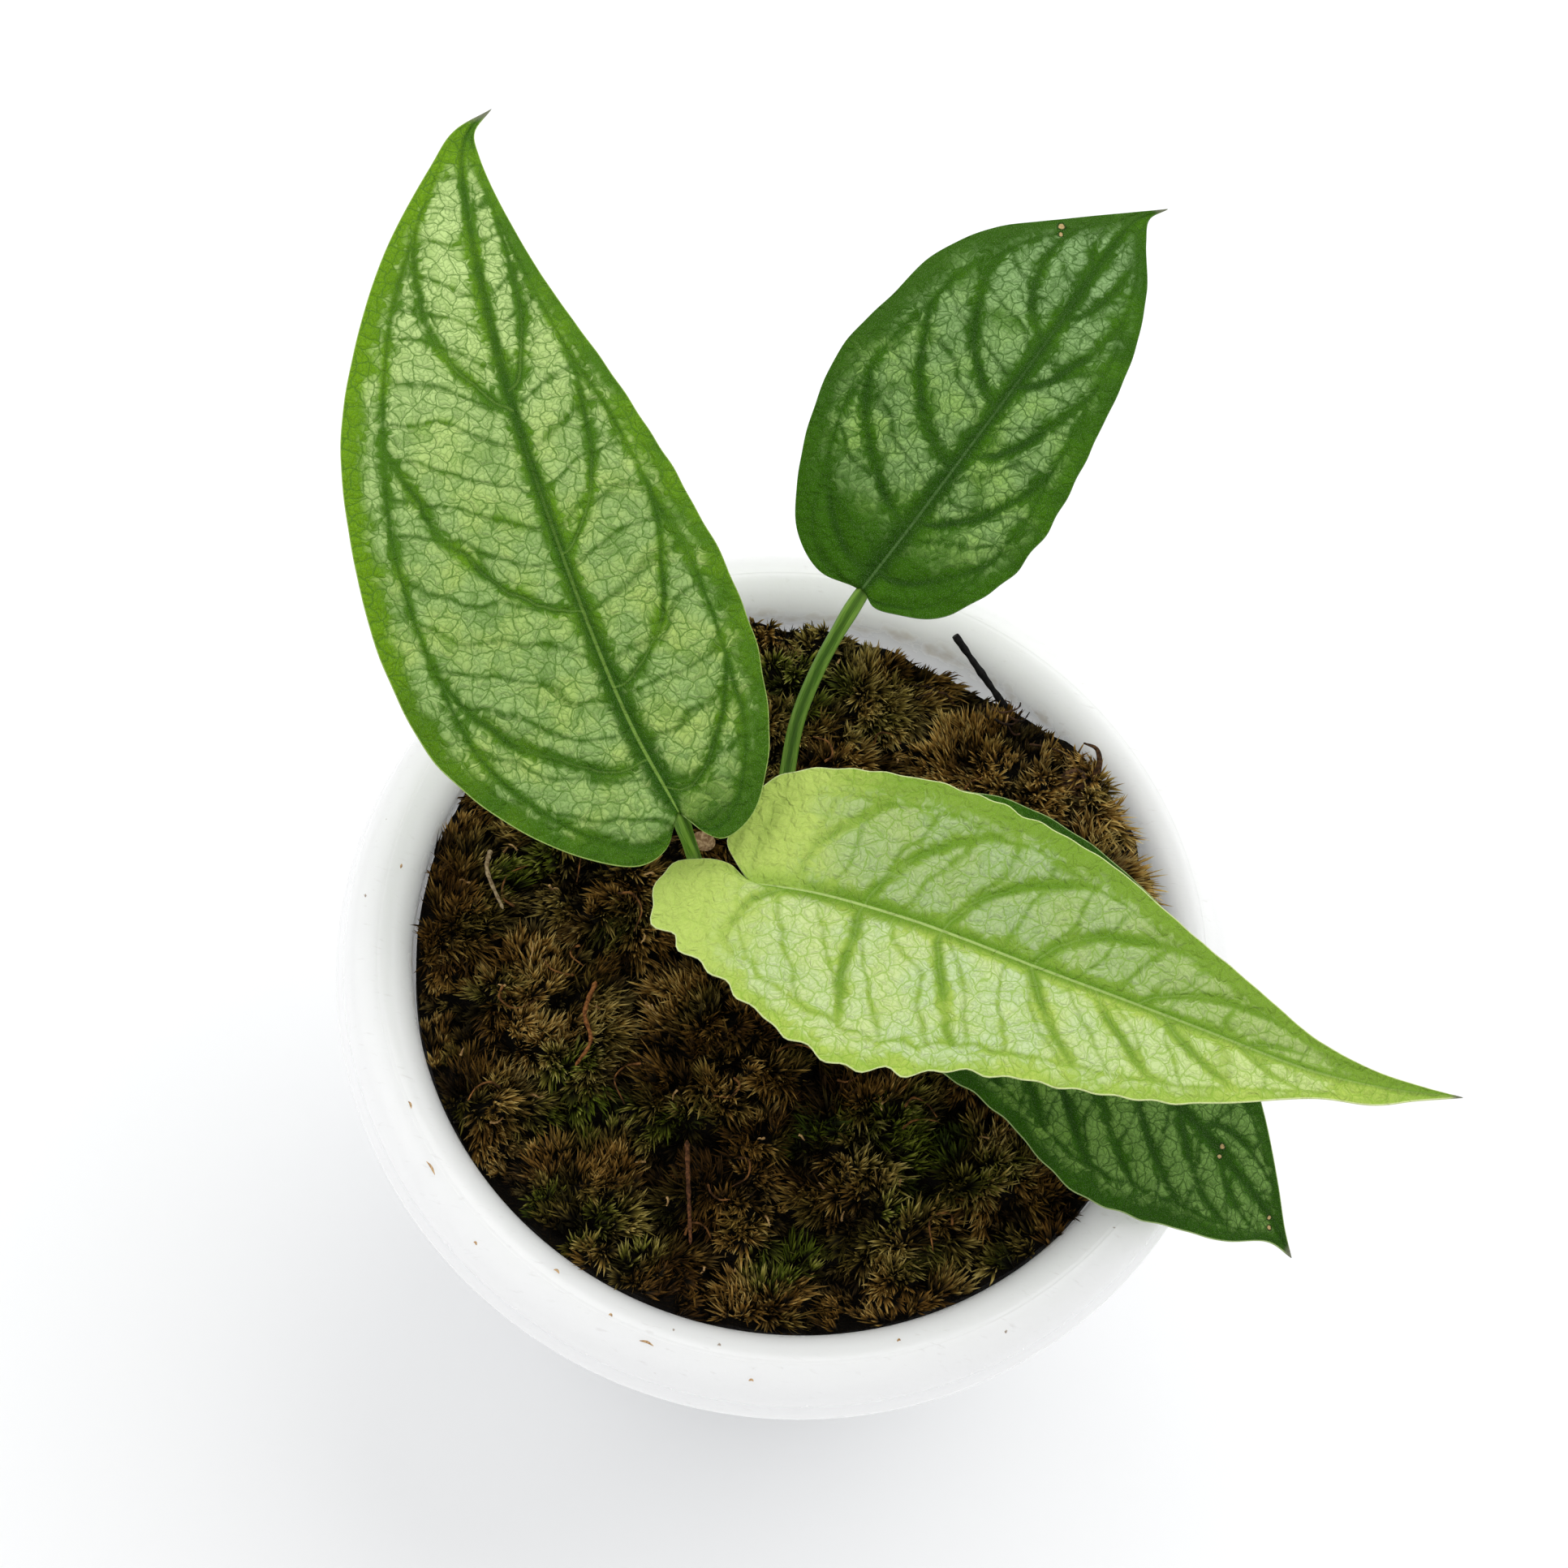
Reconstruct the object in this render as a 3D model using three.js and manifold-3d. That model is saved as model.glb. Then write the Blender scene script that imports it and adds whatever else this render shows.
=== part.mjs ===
// Potted monstera siltepecana: a young climbing aroid with four leaves, in a round white pot, moss on its soil.
// Millimetres, +Z up. The origin is the centre of the pot's flat base.

import * as THREE from 'three';
import Module from 'manifold-3d';
import { mergeVertices } from 'three/addons/utils/BufferGeometryUtils.js';

const wasm = await Module();
wasm.setup();

// Pot
const potHeight = 115;
const lipRadius = 75;
const lipBottom = 104.2;
const lipTop = 106.4;
const crownRadius = 68.2;
const rollRadius = 5.7;
const bodyTopRadius = 66;
const baseRadius = 46;
const potWall = 3.3;
const potFloor = 4;
const drainHoles = 6;
const drainHoleRadius = 4;
const drainCircleRadius = 27;
const potSegments = 48;
const rollStep = 22.5;

// Soil and moss
const soilTop = 101;
const mossRadius = 61.9;
const mossEdgeHeight = potHeight - 4;
const mossDome = 4.5;
const mossRings = 21;
const tuftHeight = 2.6;
const tuftJitter = 0.5;
const mossUnevenness = 0.9;
const mossDip = { x: 12, y: 60, height: -8.5, spread: 17 };
const mossHeap = { x: 54, y: 22, height: 2.2, spread: 15 };

// Gap kept between pieces that touch, and thickness of a blade
const gap = 0.3;
const bladeThickness = 0.9;

// Stem
const stemBase = [-9, 1.5, 80];
const stemCrown = [-9.2, 0.8, 127];
const stemRadius = 3;
const rootCount = 7;
const rootReach = 30;

// Each leaf: its flat outline, x from the stalk's joint to the tip and y to the left, and its set in space: where
// the joint is, the way the blade points, how it is bent, and the stalk's path up from the stem.
const leaves = {
  left: {
    colour: 0x5f9a3a,
    joint: [-23.4, 0.4, 161],
    heading: 121,
    pitch: 7,
    roll: 0,
    length: 121,
    arch: 9,
    droop: 6,
    fold: 0.1,
    wave: 0.5,
    waves: 9,
    ridge: -0.25,
    midrib: [[0, 0], [15, 4.5], [40, 8.5], [70, 10.5], [100, 9], [113, 7], [118, 4.5], [121, 0]],
    leftEdge: [[-1, 0.8], [-5, 3], [-6.8, 7.5], [-4, 16], [3, 26], [14, 35], [30, 39.6], [47, 40.2], [65, 38],
      [80, 32.5], [97, 23.5], [112, 12.3], [118, 7], [121, 0]],
    rightEdge: [[-0.6, -0.8], [-4, -3.3], [-5.5, -6], [-3, -11], [6, -15.6], [19, -17.2], [32, -15.8],
      [50, -11.3], [68, -5.8], [86, 0], [101, 3.2], [112, 4.3], [117, 3.8], [121, 0]],
    stalk: [[-10, 1, 121], [-13, -1.5, 129], [-15.9, -3.2, 137], [-19.2, -2.2, 150], [-21.5, -0.9, 156.5]],
    stalkFace: [0.3, 0.2, 1],
  },
  back: {
    colour: 0x3f7d34,
    joint: [-6.2, 46.2, 159],
    heading: 69,
    pitch: 12,
    roll: -4,
    length: 82,
    arch: 7,
    droop: 8,
    fold: 0.16,
    wave: 0.5,
    waves: 7,
    ridge: -0.25,
    midrib: [[0, 0], [15, -0.9], [36, -1], [52, 0], [70, 2.2], [77, 2.4], [82, 0]],
    leftEdge: [[-0.6, 1.5], [-1.8, 7.3], [1, 13.5], [8, 18.4], [18, 22.4], [28, 24.4], [40, 23.2], [49, 22.4],
      [59, 18.5], [69, 10.8], [77, 4.3], [82, 0]],
    rightEdge: [[-0.5, -0.9], [-1.5, -3.2], [-0.6, -7], [2.2, -12.7], [8.5, -17.3], [18, -19.7], [27, -19.3],
      [40, -16.8], [54, -13.2], [66, -7.4], [74, -1.5], [78.5, 1], [82, 0]],
    stalk: [[-9, 2.5, 119.5], [-8.4, 10, 122.5], [-8.4, 16.5, 125.5], [-9.7, 23.7, 132], [-10.4, 29.7, 140],
      [-9.4, 36.2, 148], [-7.6, 41.7, 155]],
    stalkFace: [0, -0.5, 1],
  },
  newest: {
    colour: 0xa9c85a,
    joint: [-9.7, -5.4, 155],
    heading: 1,
    pitch: 2,
    roll: -4,
    length: 115,
    arch: 7,
    droop: 10,
    fold: 0.12,
    wave: 1.1,
    waves: 13,
    ridge: 0.3,
    midrib: [[0, 0], [10, 0.4], [25, -0.8], [48, -3.8], [75, -5.4], [90, -5.4], [102, -3.4], [115, 0.5]],
    leftEdge: [[-0.7, 0.7], [-3.5, 3.5], [-5.4, 6.3], [-4.4, 10.5], [-2, 16.5], [4, 20.2], [14, 21.7],
      [26, 21.8], [40, 19.3], [54, 15.1], [66, 9.4], [79, 4], [90, -0.2], [100, -1.3], [108, -0.6], [115, 0.5]],
    rightEdge: [[-1.2, 0.5], [-3.8, 2.5], [-8, 2.7], [-12.5, 1], [-14.2, -3.5], [-13, -9], [-8, -13],
      [0, -17.8], [8, -22.8], [18, -27.4], [28, -27.2], [40, -23.8], [56, -21.9], [71, -18.8], [83, -13.7],
      [92, -9.5], [101, -6.9], [108, -3.1], [115, 0.5]],
    stalk: [[-9, 0.8, 126], [-11.4, -0.6, 137], [-12, -3.4, 147], [-11, -4.9, 152.5]],
    stalkFace: [1, 0, 0.3],
  },
  low: {
    colour: 0x3a7432,
    joint: [7.1, 4.1, 128],
    heading: -17,
    pitch: -8,
    roll: 2,
    length: 92,
    arch: 7,
    droop: 14,
    fold: 0.06,
    wave: 0.6,
    waves: 8,
    ridge: -0.25,
    midrib: [[0, 0], [20, 3.4], [44, 5.2], [60, 5.8], [74, 4.2], [86, 2.2], [92, 0]],
    leftEdge: [[-0.6, 0.9], [-5.2, 3.5], [-7.4, 10], [-6, 18], [0, 25.8], [10, 30.5], [22, 31.7], [36, 30.6],
      [50, 27.4], [62, 22], [73, 15.2], [83, 7.3], [88, 2.9], [92, 0]],
    rightEdge: [[-0.5, -0.9], [-2, -5], [0.8, -10], [7.5, -14], [18, -15.4], [28, -14.2], [38, -14.6],
      [52, -17.2], [62, -14.9], [71, -10.8], [80, -6.3], [87, -0.9], [92, 0]],
    stalk: [[-8.6, 0.6, 117.5], [-4.5, 1.6, 121], [1.5, 3, 123], [5.8, 3.8, 124.8]],
    stalkFace: [0, 0, 1],
  },
};

// Loose bits that lie in the moss
const blackStick = [[10.6, 62.9, 115.2], [28.7, 52.4, 103.7]];
const blackStickRadius = 0.6;
const twigs = {
  twig_red: [[-29.8, -14.8, 116.3], [-29.9, -21, 117.6], [-27.7, -25, 117.2], [-28.9, -29.2, 115.4]],
  twig_dark: [[-8.2, -35.9, 115.6], [-6, -43, 116.6], [-2.9, -51.6, 113.4]],
  twig_pale: [[-53.1, 2.8, 113], [-52.2, -2, 116.4], [-48, -6.7, 114]],
};
const twigRadius = 0.45;
const barkCurl = { centre: [38.3, 42.6, 113.4], outer: 3.6, inner: 2.9, from: 0.4, to: 3.9, length: 7 };
const barkCurlTilt = 1.45;
const barkCurlHeading = 0.9;
const barkChip = { centre: [-19.9, 13.4, 117.2], halfLength: 2.1, halfWidth: 1.6, thickness: 0.8 };
const barkChipTilt = 0.35;

function seededRandom(seed) {
  let state = seed;
  return () => {
    state = (state * 1664525 + 1013904223) % 4294967296;
    return state / 4294967296;
  };
}

function solidFrom(geometry) {
  const bare = geometry.clone();
  bare.deleteAttribute('normal');
  bare.deleteAttribute('uv');
  const merged = mergeVertices(bare, 1e-4);
  return new wasm.Manifold(new wasm.Mesh({
    numProp: 3,
    vertProperties: new Float32Array(merged.attributes.position.array),
    triVerts: new Uint32Array(merged.index.array),
  }));
}

function geometryFrom(solid) {
  const mesh = solid.getMesh();
  const geometry = new THREE.BufferGeometry();
  geometry.setAttribute('position', new THREE.BufferAttribute(mesh.vertProperties, 3));
  geometry.setIndex(new THREE.BufferAttribute(mesh.triVerts, 1));
  geometry.computeVertexNormals();
  return geometry;
}

function largestPiece(solid) {
  const pieces = solid.decompose();
  pieces.sort((a, b) => b.volume() - a.volume());
  return pieces[0];
}

// A closed mesh from a sheet: an upper and a lower copy of its points, its triangles, and a wall along free edges
function closedSheet(upper, lower, triangles) {
  const count = upper.length;
  const index = [];
  const edges = new Map();
  for (const [a, b, c] of triangles) {
    index.push(a, b, c, count + c, count + b, count + a);
    for (const [from, to] of [[a, b], [b, c], [c, a]]) {
      edges.set(`${from},${to}`, [from, to]);
    }
  }
  for (const [from, to] of edges.values()) {
    if (!edges.has(`${to},${from}`)) {
      index.push(from, count + from, to, to, count + from, count + to);
    }
  }
  const geometry = new THREE.BufferGeometry();
  const positions = upper.concat(lower).flatMap((p) => [p.x, p.y, p.z]);
  geometry.setAttribute('position', new THREE.Float32BufferAttribute(positions, 3));
  geometry.setIndex(index);
  return geometry;
}

// A closed tapering tube along a smooth path, with an optional channel along the side that turns to `face`.
// `grow` makes it larger all round, its ends too, for the room that it takes in a neighbour.
function taperedTube({ path, radius, grow, sides = 8, steps = 10, channel = 0, face = [0, 0, 1] }) {
  const curve = new THREE.CatmullRomCurve3(path.map((p) => new THREE.Vector3(...p)));
  const positions = [];
  const index = [];
  for (let i = 0; i <= steps; i += 1) {
    const t = i / steps;
    const centre = curve.getPointAt(t);
    const along = curve.getTangentAt(t);
    const up = new THREE.Vector3(...face).projectOnPlane(along).normalize();
    const across = new THREE.Vector3().crossVectors(along, up);
    const atEnd = (i === steps ? 1 : 0) - (i === 0 ? 1 : 0);
    centre.addScaledVector(along, grow * atEnd);
    for (let j = 0; j < sides; j += 1) {
      const angle = (2 * Math.PI * j) / sides;
      const r = radius(t) * (j === 0 ? 1 - channel : 1) + grow;
      const point = centre.clone().addScaledVector(up, r * Math.cos(angle));
      point.addScaledVector(across, r * Math.sin(angle));
      positions.push(point.x, point.y, point.z);
    }
  }
  for (let i = 0; i < steps; i += 1) {
    for (let j = 0; j < sides; j += 1) {
      const a = i * sides + j;
      const b = i * sides + ((j + 1) % sides);
      index.push(a, b, a + sides, b, b + sides, a + sides);
    }
  }
  const last = steps * sides;
  for (let j = 1; j < sides - 1; j += 1) {
    index.push(0, j + 1, j, last, last + j, last + j + 1);
  }
  const geometry = new THREE.BufferGeometry();
  geometry.setAttribute('position', new THREE.Float32BufferAttribute(positions, 3));
  geometry.setIndex(index);
  return solidFrom(geometry);
}

// Pot: one moulding, turned about its axis, with a rolled rim, a thin flange under it and drain holes
const bodyProfile = [[baseRadius, 3], [52.4, 25], [58.6, 58], [63.4, 88], [bodyTopRadius, 103]];

function potSolid() {
  const rollHeight = potHeight - rollRadius;
  const profile = [[0, 0], [baseRadius - 3, 0], [baseRadius - 0.8, 0.8], ...bodyProfile];
  profile.push([bodyTopRadius + 0.3, lipBottom], [lipRadius - 0.8, lipBottom]);
  profile.push([lipRadius, lipBottom + 0.8], [lipRadius, lipTop - 0.5], [lipRadius - 0.7, lipTop]);
  for (let degrees = -rollStep; degrees <= 180; degrees += rollStep) {
    const angle = THREE.MathUtils.degToRad(degrees);
    profile.push([crownRadius + rollRadius * Math.cos(angle), rollHeight + rollRadius * Math.sin(angle)]);
  }
  for (const [radius, height] of bodyProfile.slice(1).reverse()) {
    profile.push([radius - potWall, height]);
  }
  profile.push([baseRadius - 2.4, potFloor + 2.6], [baseRadius - 5, potFloor], [0, potFloor]);
  const turned = new THREE.LatheGeometry(profile.map(([r, z]) => new THREE.Vector2(r, z)), potSegments);
  turned.rotateX(Math.PI / 2);
  let pot = solidFrom(turned);
  for (let i = 0; i < drainHoles; i += 1) {
    const angle = (2 * Math.PI * i) / drainHoles;
    const drill = new THREE.CylinderGeometry(drainHoleRadius, drainHoleRadius, 4 * potFloor, 10);
    drill.rotateX(Math.PI / 2);
    drill.translate(drainCircleRadius * Math.cos(angle), drainCircleRadius * Math.sin(angle), 0);
    pot = pot.subtract(solidFrom(drill));
  }
  return pot;
}

// Stem: a short upright stem with swollen joints, and the roots that grow from its foot
function stemSolid(grow) {
  const swell = (t) => stemRadius * (1 - 0.2 * t + 0.08 * Math.cos(2 * Math.PI * 6 * t));
  const path = [stemBase, [-9.5, 1, 103], stemCrown];
  let stem = taperedTube({ path, radius: swell, grow, sides: 8, steps: 14, face: [1, 0, 0] });
  const random = seededRandom(11);
  for (let i = 0; i < rootCount; i += 1) {
    const angle = (2 * Math.PI * (i + 0.5 * random())) / rootCount;
    const out = rootReach * (0.75 + 0.35 * random());
    const start = stemBase[2] + 3 + 9 * random();
    const point = (share, drop) => [
      stemBase[0] + out * share * Math.cos(angle + 0.5 * share),
      stemBase[1] + out * share * Math.sin(angle + 0.5 * share),
      start - drop,
    ];
    const root = taperedTube({
      path: [point(0, 0), point(0.35, 3), point(0.75, 16), point(1, 38)],
      radius: (t) => 1.5 - 0.9 * t,
      grow,
      sides: 5,
      steps: 5,
      face: [0.3, 0.2, 1],
    });
    stem = stem.add(root);
  }
  return stem;
}

// Leaf blade: each half is ruled from the midrib to its edge, then arched, folded, quilted between its side veins
// and waved along its edge
const bladeRows = 32;
const bladeColumns = 7;
const sideVeins = 7;
const quiltDepth = 0.35;
const midribSpread = 1.6;
const keelDepth = 1;
const jointBlock = 14;

function outlineCurve(points) {
  return new THREE.CatmullRomCurve3(points.map(([x, y]) => new THREE.Vector3(x, y, 0)), false, 'centripetal');
}

function midribOffset(leaf, x) {
  const points = leaf.midrib;
  const next = Math.max(1, points.findIndex((p) => p[0] > x));
  const [x0, y0] = points[next - 1];
  const [x1, y1] = points[next];
  const share = THREE.MathUtils.clamp((x - x0) / (x1 - x0), 0, 1);
  return y0 + share * (y1 - y0);
}

function leafFrame(leaf) {
  const turn = new THREE.Matrix4().makeRotationZ(THREE.MathUtils.degToRad(leaf.heading));
  turn.multiply(new THREE.Matrix4().makeRotationY(-THREE.MathUtils.degToRad(leaf.pitch)));
  turn.multiply(new THREE.Matrix4().makeRotationX(THREE.MathUtils.degToRad(leaf.roll)));
  return turn.setPosition(...leaf.joint);
}

function bladeHeight(leaf, x, y) {
  const t = x / leaf.length;
  const bow = leaf.arch * Math.sin(Math.PI * THREE.MathUtils.clamp(t, -0.5, 1));
  const hang = leaf.droop * Math.max(t, 0) ** 2;
  return bow - hang + leaf.fold * Math.hypot(y - midribOffset(leaf, x), 2);
}

function bladeGeometry(leaf) {
  const frame = leafFrame(leaf);
  const midrib = outlineCurve(leaf.midrib);
  const upper = [];
  const lower = [];
  const triangles = [];
  const addPoint = (flat, lift, rib) => {
    const z = bladeHeight(leaf, flat.x, flat.y) + lift;
    const half = bladeThickness / 2;
    upper.push(new THREE.Vector3(flat.x, flat.y, z + half + leaf.ridge * rib).applyMatrix4(frame));
    lower.push(new THREE.Vector3(flat.x, flat.y, z - half - rib).applyMatrix4(frame));
    return upper.length - 1;
  };
  const midribRow = [];
  for (let i = 0; i < bladeRows; i += 1) {
    const root = midrib.getPointAt((i / bladeRows) ** 1.5);
    midribRow.push(addPoint(root, 0, keelDepth * (1 - 0.75 * (i / bladeRows))));
  }
  const tip = addPoint(midrib.getPointAt(1), 0, 0.1);
  for (const [edgePoints, side] of [[leaf.leftEdge, 1], [leaf.rightEdge, -1]]) {
    const edge = outlineCurve(edgePoints);
    const grid = [];
    for (let i = 0; i < bladeRows; i += 1) {
      const u = i / bladeRows;
      const root = midrib.getPointAt(u ** 1.5);
      const rim = edge.getPointAt(u);
      const width = root.distanceTo(rim);
      const first = Math.min(0.2, midribSpread / width);
      const row = [midribRow[i]];
      for (let k = 1; k <= bladeColumns; k += 1) {
        const v = first + ((1 - first) * (k - 1)) / (bladeColumns - 1);
        const flat = root.clone().lerp(rim, v);
        const vein = Math.cos(2 * Math.PI * sideVeins * (u - 0.42 * v * v));
        const quilt = -quiltDepth * vein * 4 * v * (1 - v);
        const fade = v ** 4 * Math.sin(Math.PI * u) ** 0.5;
        const ripple = leaf.wave * fade * Math.sin(2 * Math.PI * leaf.waves * u + side);
        row.push(addPoint(flat, quilt + ripple, 0));
      }
      grid.push(row);
    }
    grid.push(new Array(bladeColumns + 1).fill(tip));
    for (let i = 0; i < bladeRows; i += 1) {
      for (let k = 0; k < bladeColumns; k += 1) {
        const corners = [grid[i][k], grid[i + 1][k], grid[i + 1][k + 1], grid[i][k + 1]];
        if (side < 0) {
          corners.reverse();
        }
        const [a, b, c, d] = [...new Set(corners)];
        triangles.push([a, b, c]);
        if (d !== undefined) {
          triangles.push([a, c, d]);
        }
      }
    }
  }
  return closedSheet(upper, lower, triangles);
}

// Everything above a plane just under the blade's keel at its joint, which the stalk's end is cut along
function aboveJoint(leaf) {
  const under = bladeHeight(leaf, 0, 0) - bladeThickness / 2 - keelDepth - gap;
  const block = new THREE.BoxGeometry(jointBlock, jointBlock, jointBlock);
  block.translate(0, 0, jointBlock / 2);
  block.rotateY(-Math.atan((leaf.arch * Math.PI) / leaf.length));
  block.translate(0, 0, under);
  block.applyMatrix4(leafFrame(leaf));
  return solidFrom(block);
}

// Leaf stalk: a channelled stalk, clasping the stem at its foot and ending under the blade's joint
function stalkSolid(leaf, grow) {
  return taperedTube({
    path: [...leaf.stalk, leaf.joint],
    radius: (t) => 1.15 + 0.9 * (1 - t) ** 6 + 0.15 * (1 - t),
    grow,
    sides: 8,
    steps: 14,
    channel: grow > 0 ? 0 : 0.25,
    face: leaf.stalkFace,
  });
}

// Soil: fills the pot to the underside of the moss
function soilSolid() {
  const profile = [[0, potFloor], [baseRadius - 5.4, potFloor], [baseRadius - 2.4 - 0.5, potFloor + 2.7]];
  for (const [radius, height] of bodyProfile.slice(1, -1)) {
    profile.push([radius - potWall - gap - 0.1, height]);
  }
  profile.push([mossRadius, soilTop], [0, soilTop]);
  const turned = new THREE.LatheGeometry(profile.map(([r, z]) => new THREE.Vector2(r, z)), potSegments);
  turned.rotateX(Math.PI / 2);
  return solidFrom(turned);
}

// Moss: a low mound of pointed tufts, level with the rim in front and lower at the back, on the soil
function mossLevel(x, y) {
  const share = Math.hypot(x, y) / mossRadius;
  let level = mossEdgeHeight + mossDome * (1 - share ** 2);
  for (const bump of [mossDip, mossHeap]) {
    const distance = Math.hypot(x - bump.x, y - bump.y);
    level += bump.height * Math.exp(-(distance ** 2) / (2 * bump.spread ** 2));
  }
  return level;
}

function mossSolid() {
  const random = seededRandom(7);
  const upper = [];
  const rings = [];
  const spacing = mossRadius / mossRings;
  for (let ring = 0; ring <= mossRings; ring += 1) {
    const atEdge = ring === mossRings;
    const count = Math.max(1, 6 * ring);
    const jitter = () => (atEdge ? 0 : tuftJitter * (random() - 0.5));
    const row = [];
    for (let i = 0; i < count; i += 1) {
      const isTip = (ring + (i % Math.max(1, ring))) % 3 === 0 && !atEdge;
      const radius = spacing * (ring + jitter());
      const angle = (2 * Math.PI * i) / count + jitter() / Math.max(1, ring);
      const x = radius * Math.cos(angle);
      const y = radius * Math.sin(angle);
      const lift = (isTip ? tuftHeight : 0) + mossUnevenness * (random() - 0.5);
      row.push(upper.length);
      upper.push(new THREE.Vector3(x, y, mossLevel(x, y) + lift));
    }
    rings.push(row);
  }
  const index = [];
  for (let ring = 1; ring <= mossRings; ring += 1) {
    const outer = rings[ring];
    const inner = rings[ring - 1];
    for (let sector = 0; sector < 6; sector += 1) {
      for (let step = 0; step < ring; step += 1) {
        const a = outer[(sector * ring + step) % outer.length];
        const b = outer[(sector * ring + step + 1) % outer.length];
        const c = inner[(sector * (ring - 1) + step) % inner.length];
        index.push(a, b, c);
        if (step < ring - 1) {
          index.push(c, b, inner[(sector * (ring - 1) + step + 1) % inner.length]);
        }
      }
    }
  }
  const rim = rings[mossRings];
  const positions = upper.flatMap((p) => [p.x, p.y, p.z]);
  const foot = upper.length;
  for (const id of rim) {
    positions.push(upper[id].x, upper[id].y, soilTop);
  }
  const centre = foot + rim.length;
  positions.push(0, 0, soilTop);
  for (let i = 0; i < rim.length; i += 1) {
    const next = (i + 1) % rim.length;
    index.push(rim[i], foot + i, rim[next], rim[next], foot + i, foot + next);
    index.push(foot + i, centre, foot + next);
  }
  const geometry = new THREE.BufferGeometry();
  geometry.setAttribute('position', new THREE.Float32BufferAttribute(positions, 3));
  geometry.setIndex(index);
  return solidFrom(geometry);
}

// Loose bits: a straight stick, thin twigs, a curl of bark and a chip of bark
function stickSolid(grow) {
  return taperedTube({ path: blackStick, radius: () => blackStickRadius, grow, sides: 6, steps: 2 });
}

function twigSolid(path, grow) {
  return taperedTube({ path, radius: (t) => twigRadius * (1.1 - 0.4 * t), grow, sides: 5, steps: 7 });
}

function barkCurlSolid(grow) {
  const { centre, outer, inner, from, to, length } = barkCurl;
  const more = grow / inner;
  const shape = new THREE.Shape();
  shape.absarc(0, 0, outer + grow, from - more, to + more, false);
  shape.absarc(0, 0, inner - grow, to + more, from - more, true);
  const depth = length + 2 * grow;
  const curl = new THREE.ExtrudeGeometry(shape, { depth, bevelEnabled: false, curveSegments: 9 });
  curl.translate(0, 0, -depth / 2);
  curl.rotateX(barkCurlTilt);
  curl.rotateZ(barkCurlHeading);
  curl.translate(...centre);
  return solidFrom(curl);
}

function barkChipSolid(grow) {
  const { centre, halfLength, halfWidth, thickness } = barkChip;
  const shape = new THREE.Shape();
  shape.absellipse(0, 0, halfLength + grow, halfWidth + grow, 0, 2 * Math.PI);
  const depth = thickness + 2 * grow;
  const chip = new THREE.ExtrudeGeometry(shape, { depth, bevelEnabled: false, curveSegments: 7 });
  chip.translate(0, 0, -depth / 2);
  chip.rotateX(barkChipTilt);
  chip.translate(...centre);
  return solidFrom(chip);
}

function plastic(color, roughness) {
  return new THREE.MeshStandardMaterial({ color, roughness, metalness: 0 });
}

const plant = new THREE.Group();

function addPiece(name, solid, material) {
  const mesh = new THREE.Mesh(geometryFrom(solid), material);
  mesh.name = name;
  plant.add(mesh);
}

const stemRoom = stemSolid(gap);
addPiece('pot', potSolid(), plastic(0xf4f4f2, 0.25));
addPiece('soil', soilSolid().subtract(stemRoom), plastic(0x2b2018, 1));
addPiece('stem', stemSolid(0), plastic(0x5d7a3a, 0.6));

let stalkRoom = stemRoom;
let moss = mossSolid().subtract(stemRoom);
for (const [name, leaf] of Object.entries(leaves)) {
  const blade = solidFrom(bladeGeometry(leaf));
  const stalk = largestPiece(stalkSolid(leaf, 0).subtract(stalkRoom).subtract(aboveJoint(leaf)));
  addPiece(`petiole_${name}`, stalk, plastic(0x6fa045, 0.5));
  stalkRoom = stalkRoom.add(stalkSolid(leaf, gap));
  moss = moss.subtract(stalkSolid(leaf, gap));
  addPiece(`leaf_${name}`, blade, plastic(leaf.colour, 0.45));
}

const bits = { black_stick: [stickSolid(0), stickSolid(gap), 0x17130f] };
for (const [name, path] of Object.entries(twigs)) {
  bits[name] = [twigSolid(path, 0), twigSolid(path, gap), 0x6b3f26];
}
bits.bark_curl = [barkCurlSolid(0), barkCurlSolid(gap), 0x4a3423];
bits.bark_chip = [barkChipSolid(0), barkChipSolid(gap), 0xa58368];
for (const [name, [solid, room, colour]] of Object.entries(bits)) {
  addPiece(name, solid, plastic(colour, 0.8));
  moss = moss.subtract(room);
}
addPiece('moss', largestPiece(moss), plastic(0x5a4a22, 1));

export default plant;
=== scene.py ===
import math

import bmesh
import bpy
import numpy as np
from mathutils import Matrix, Vector


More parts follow.
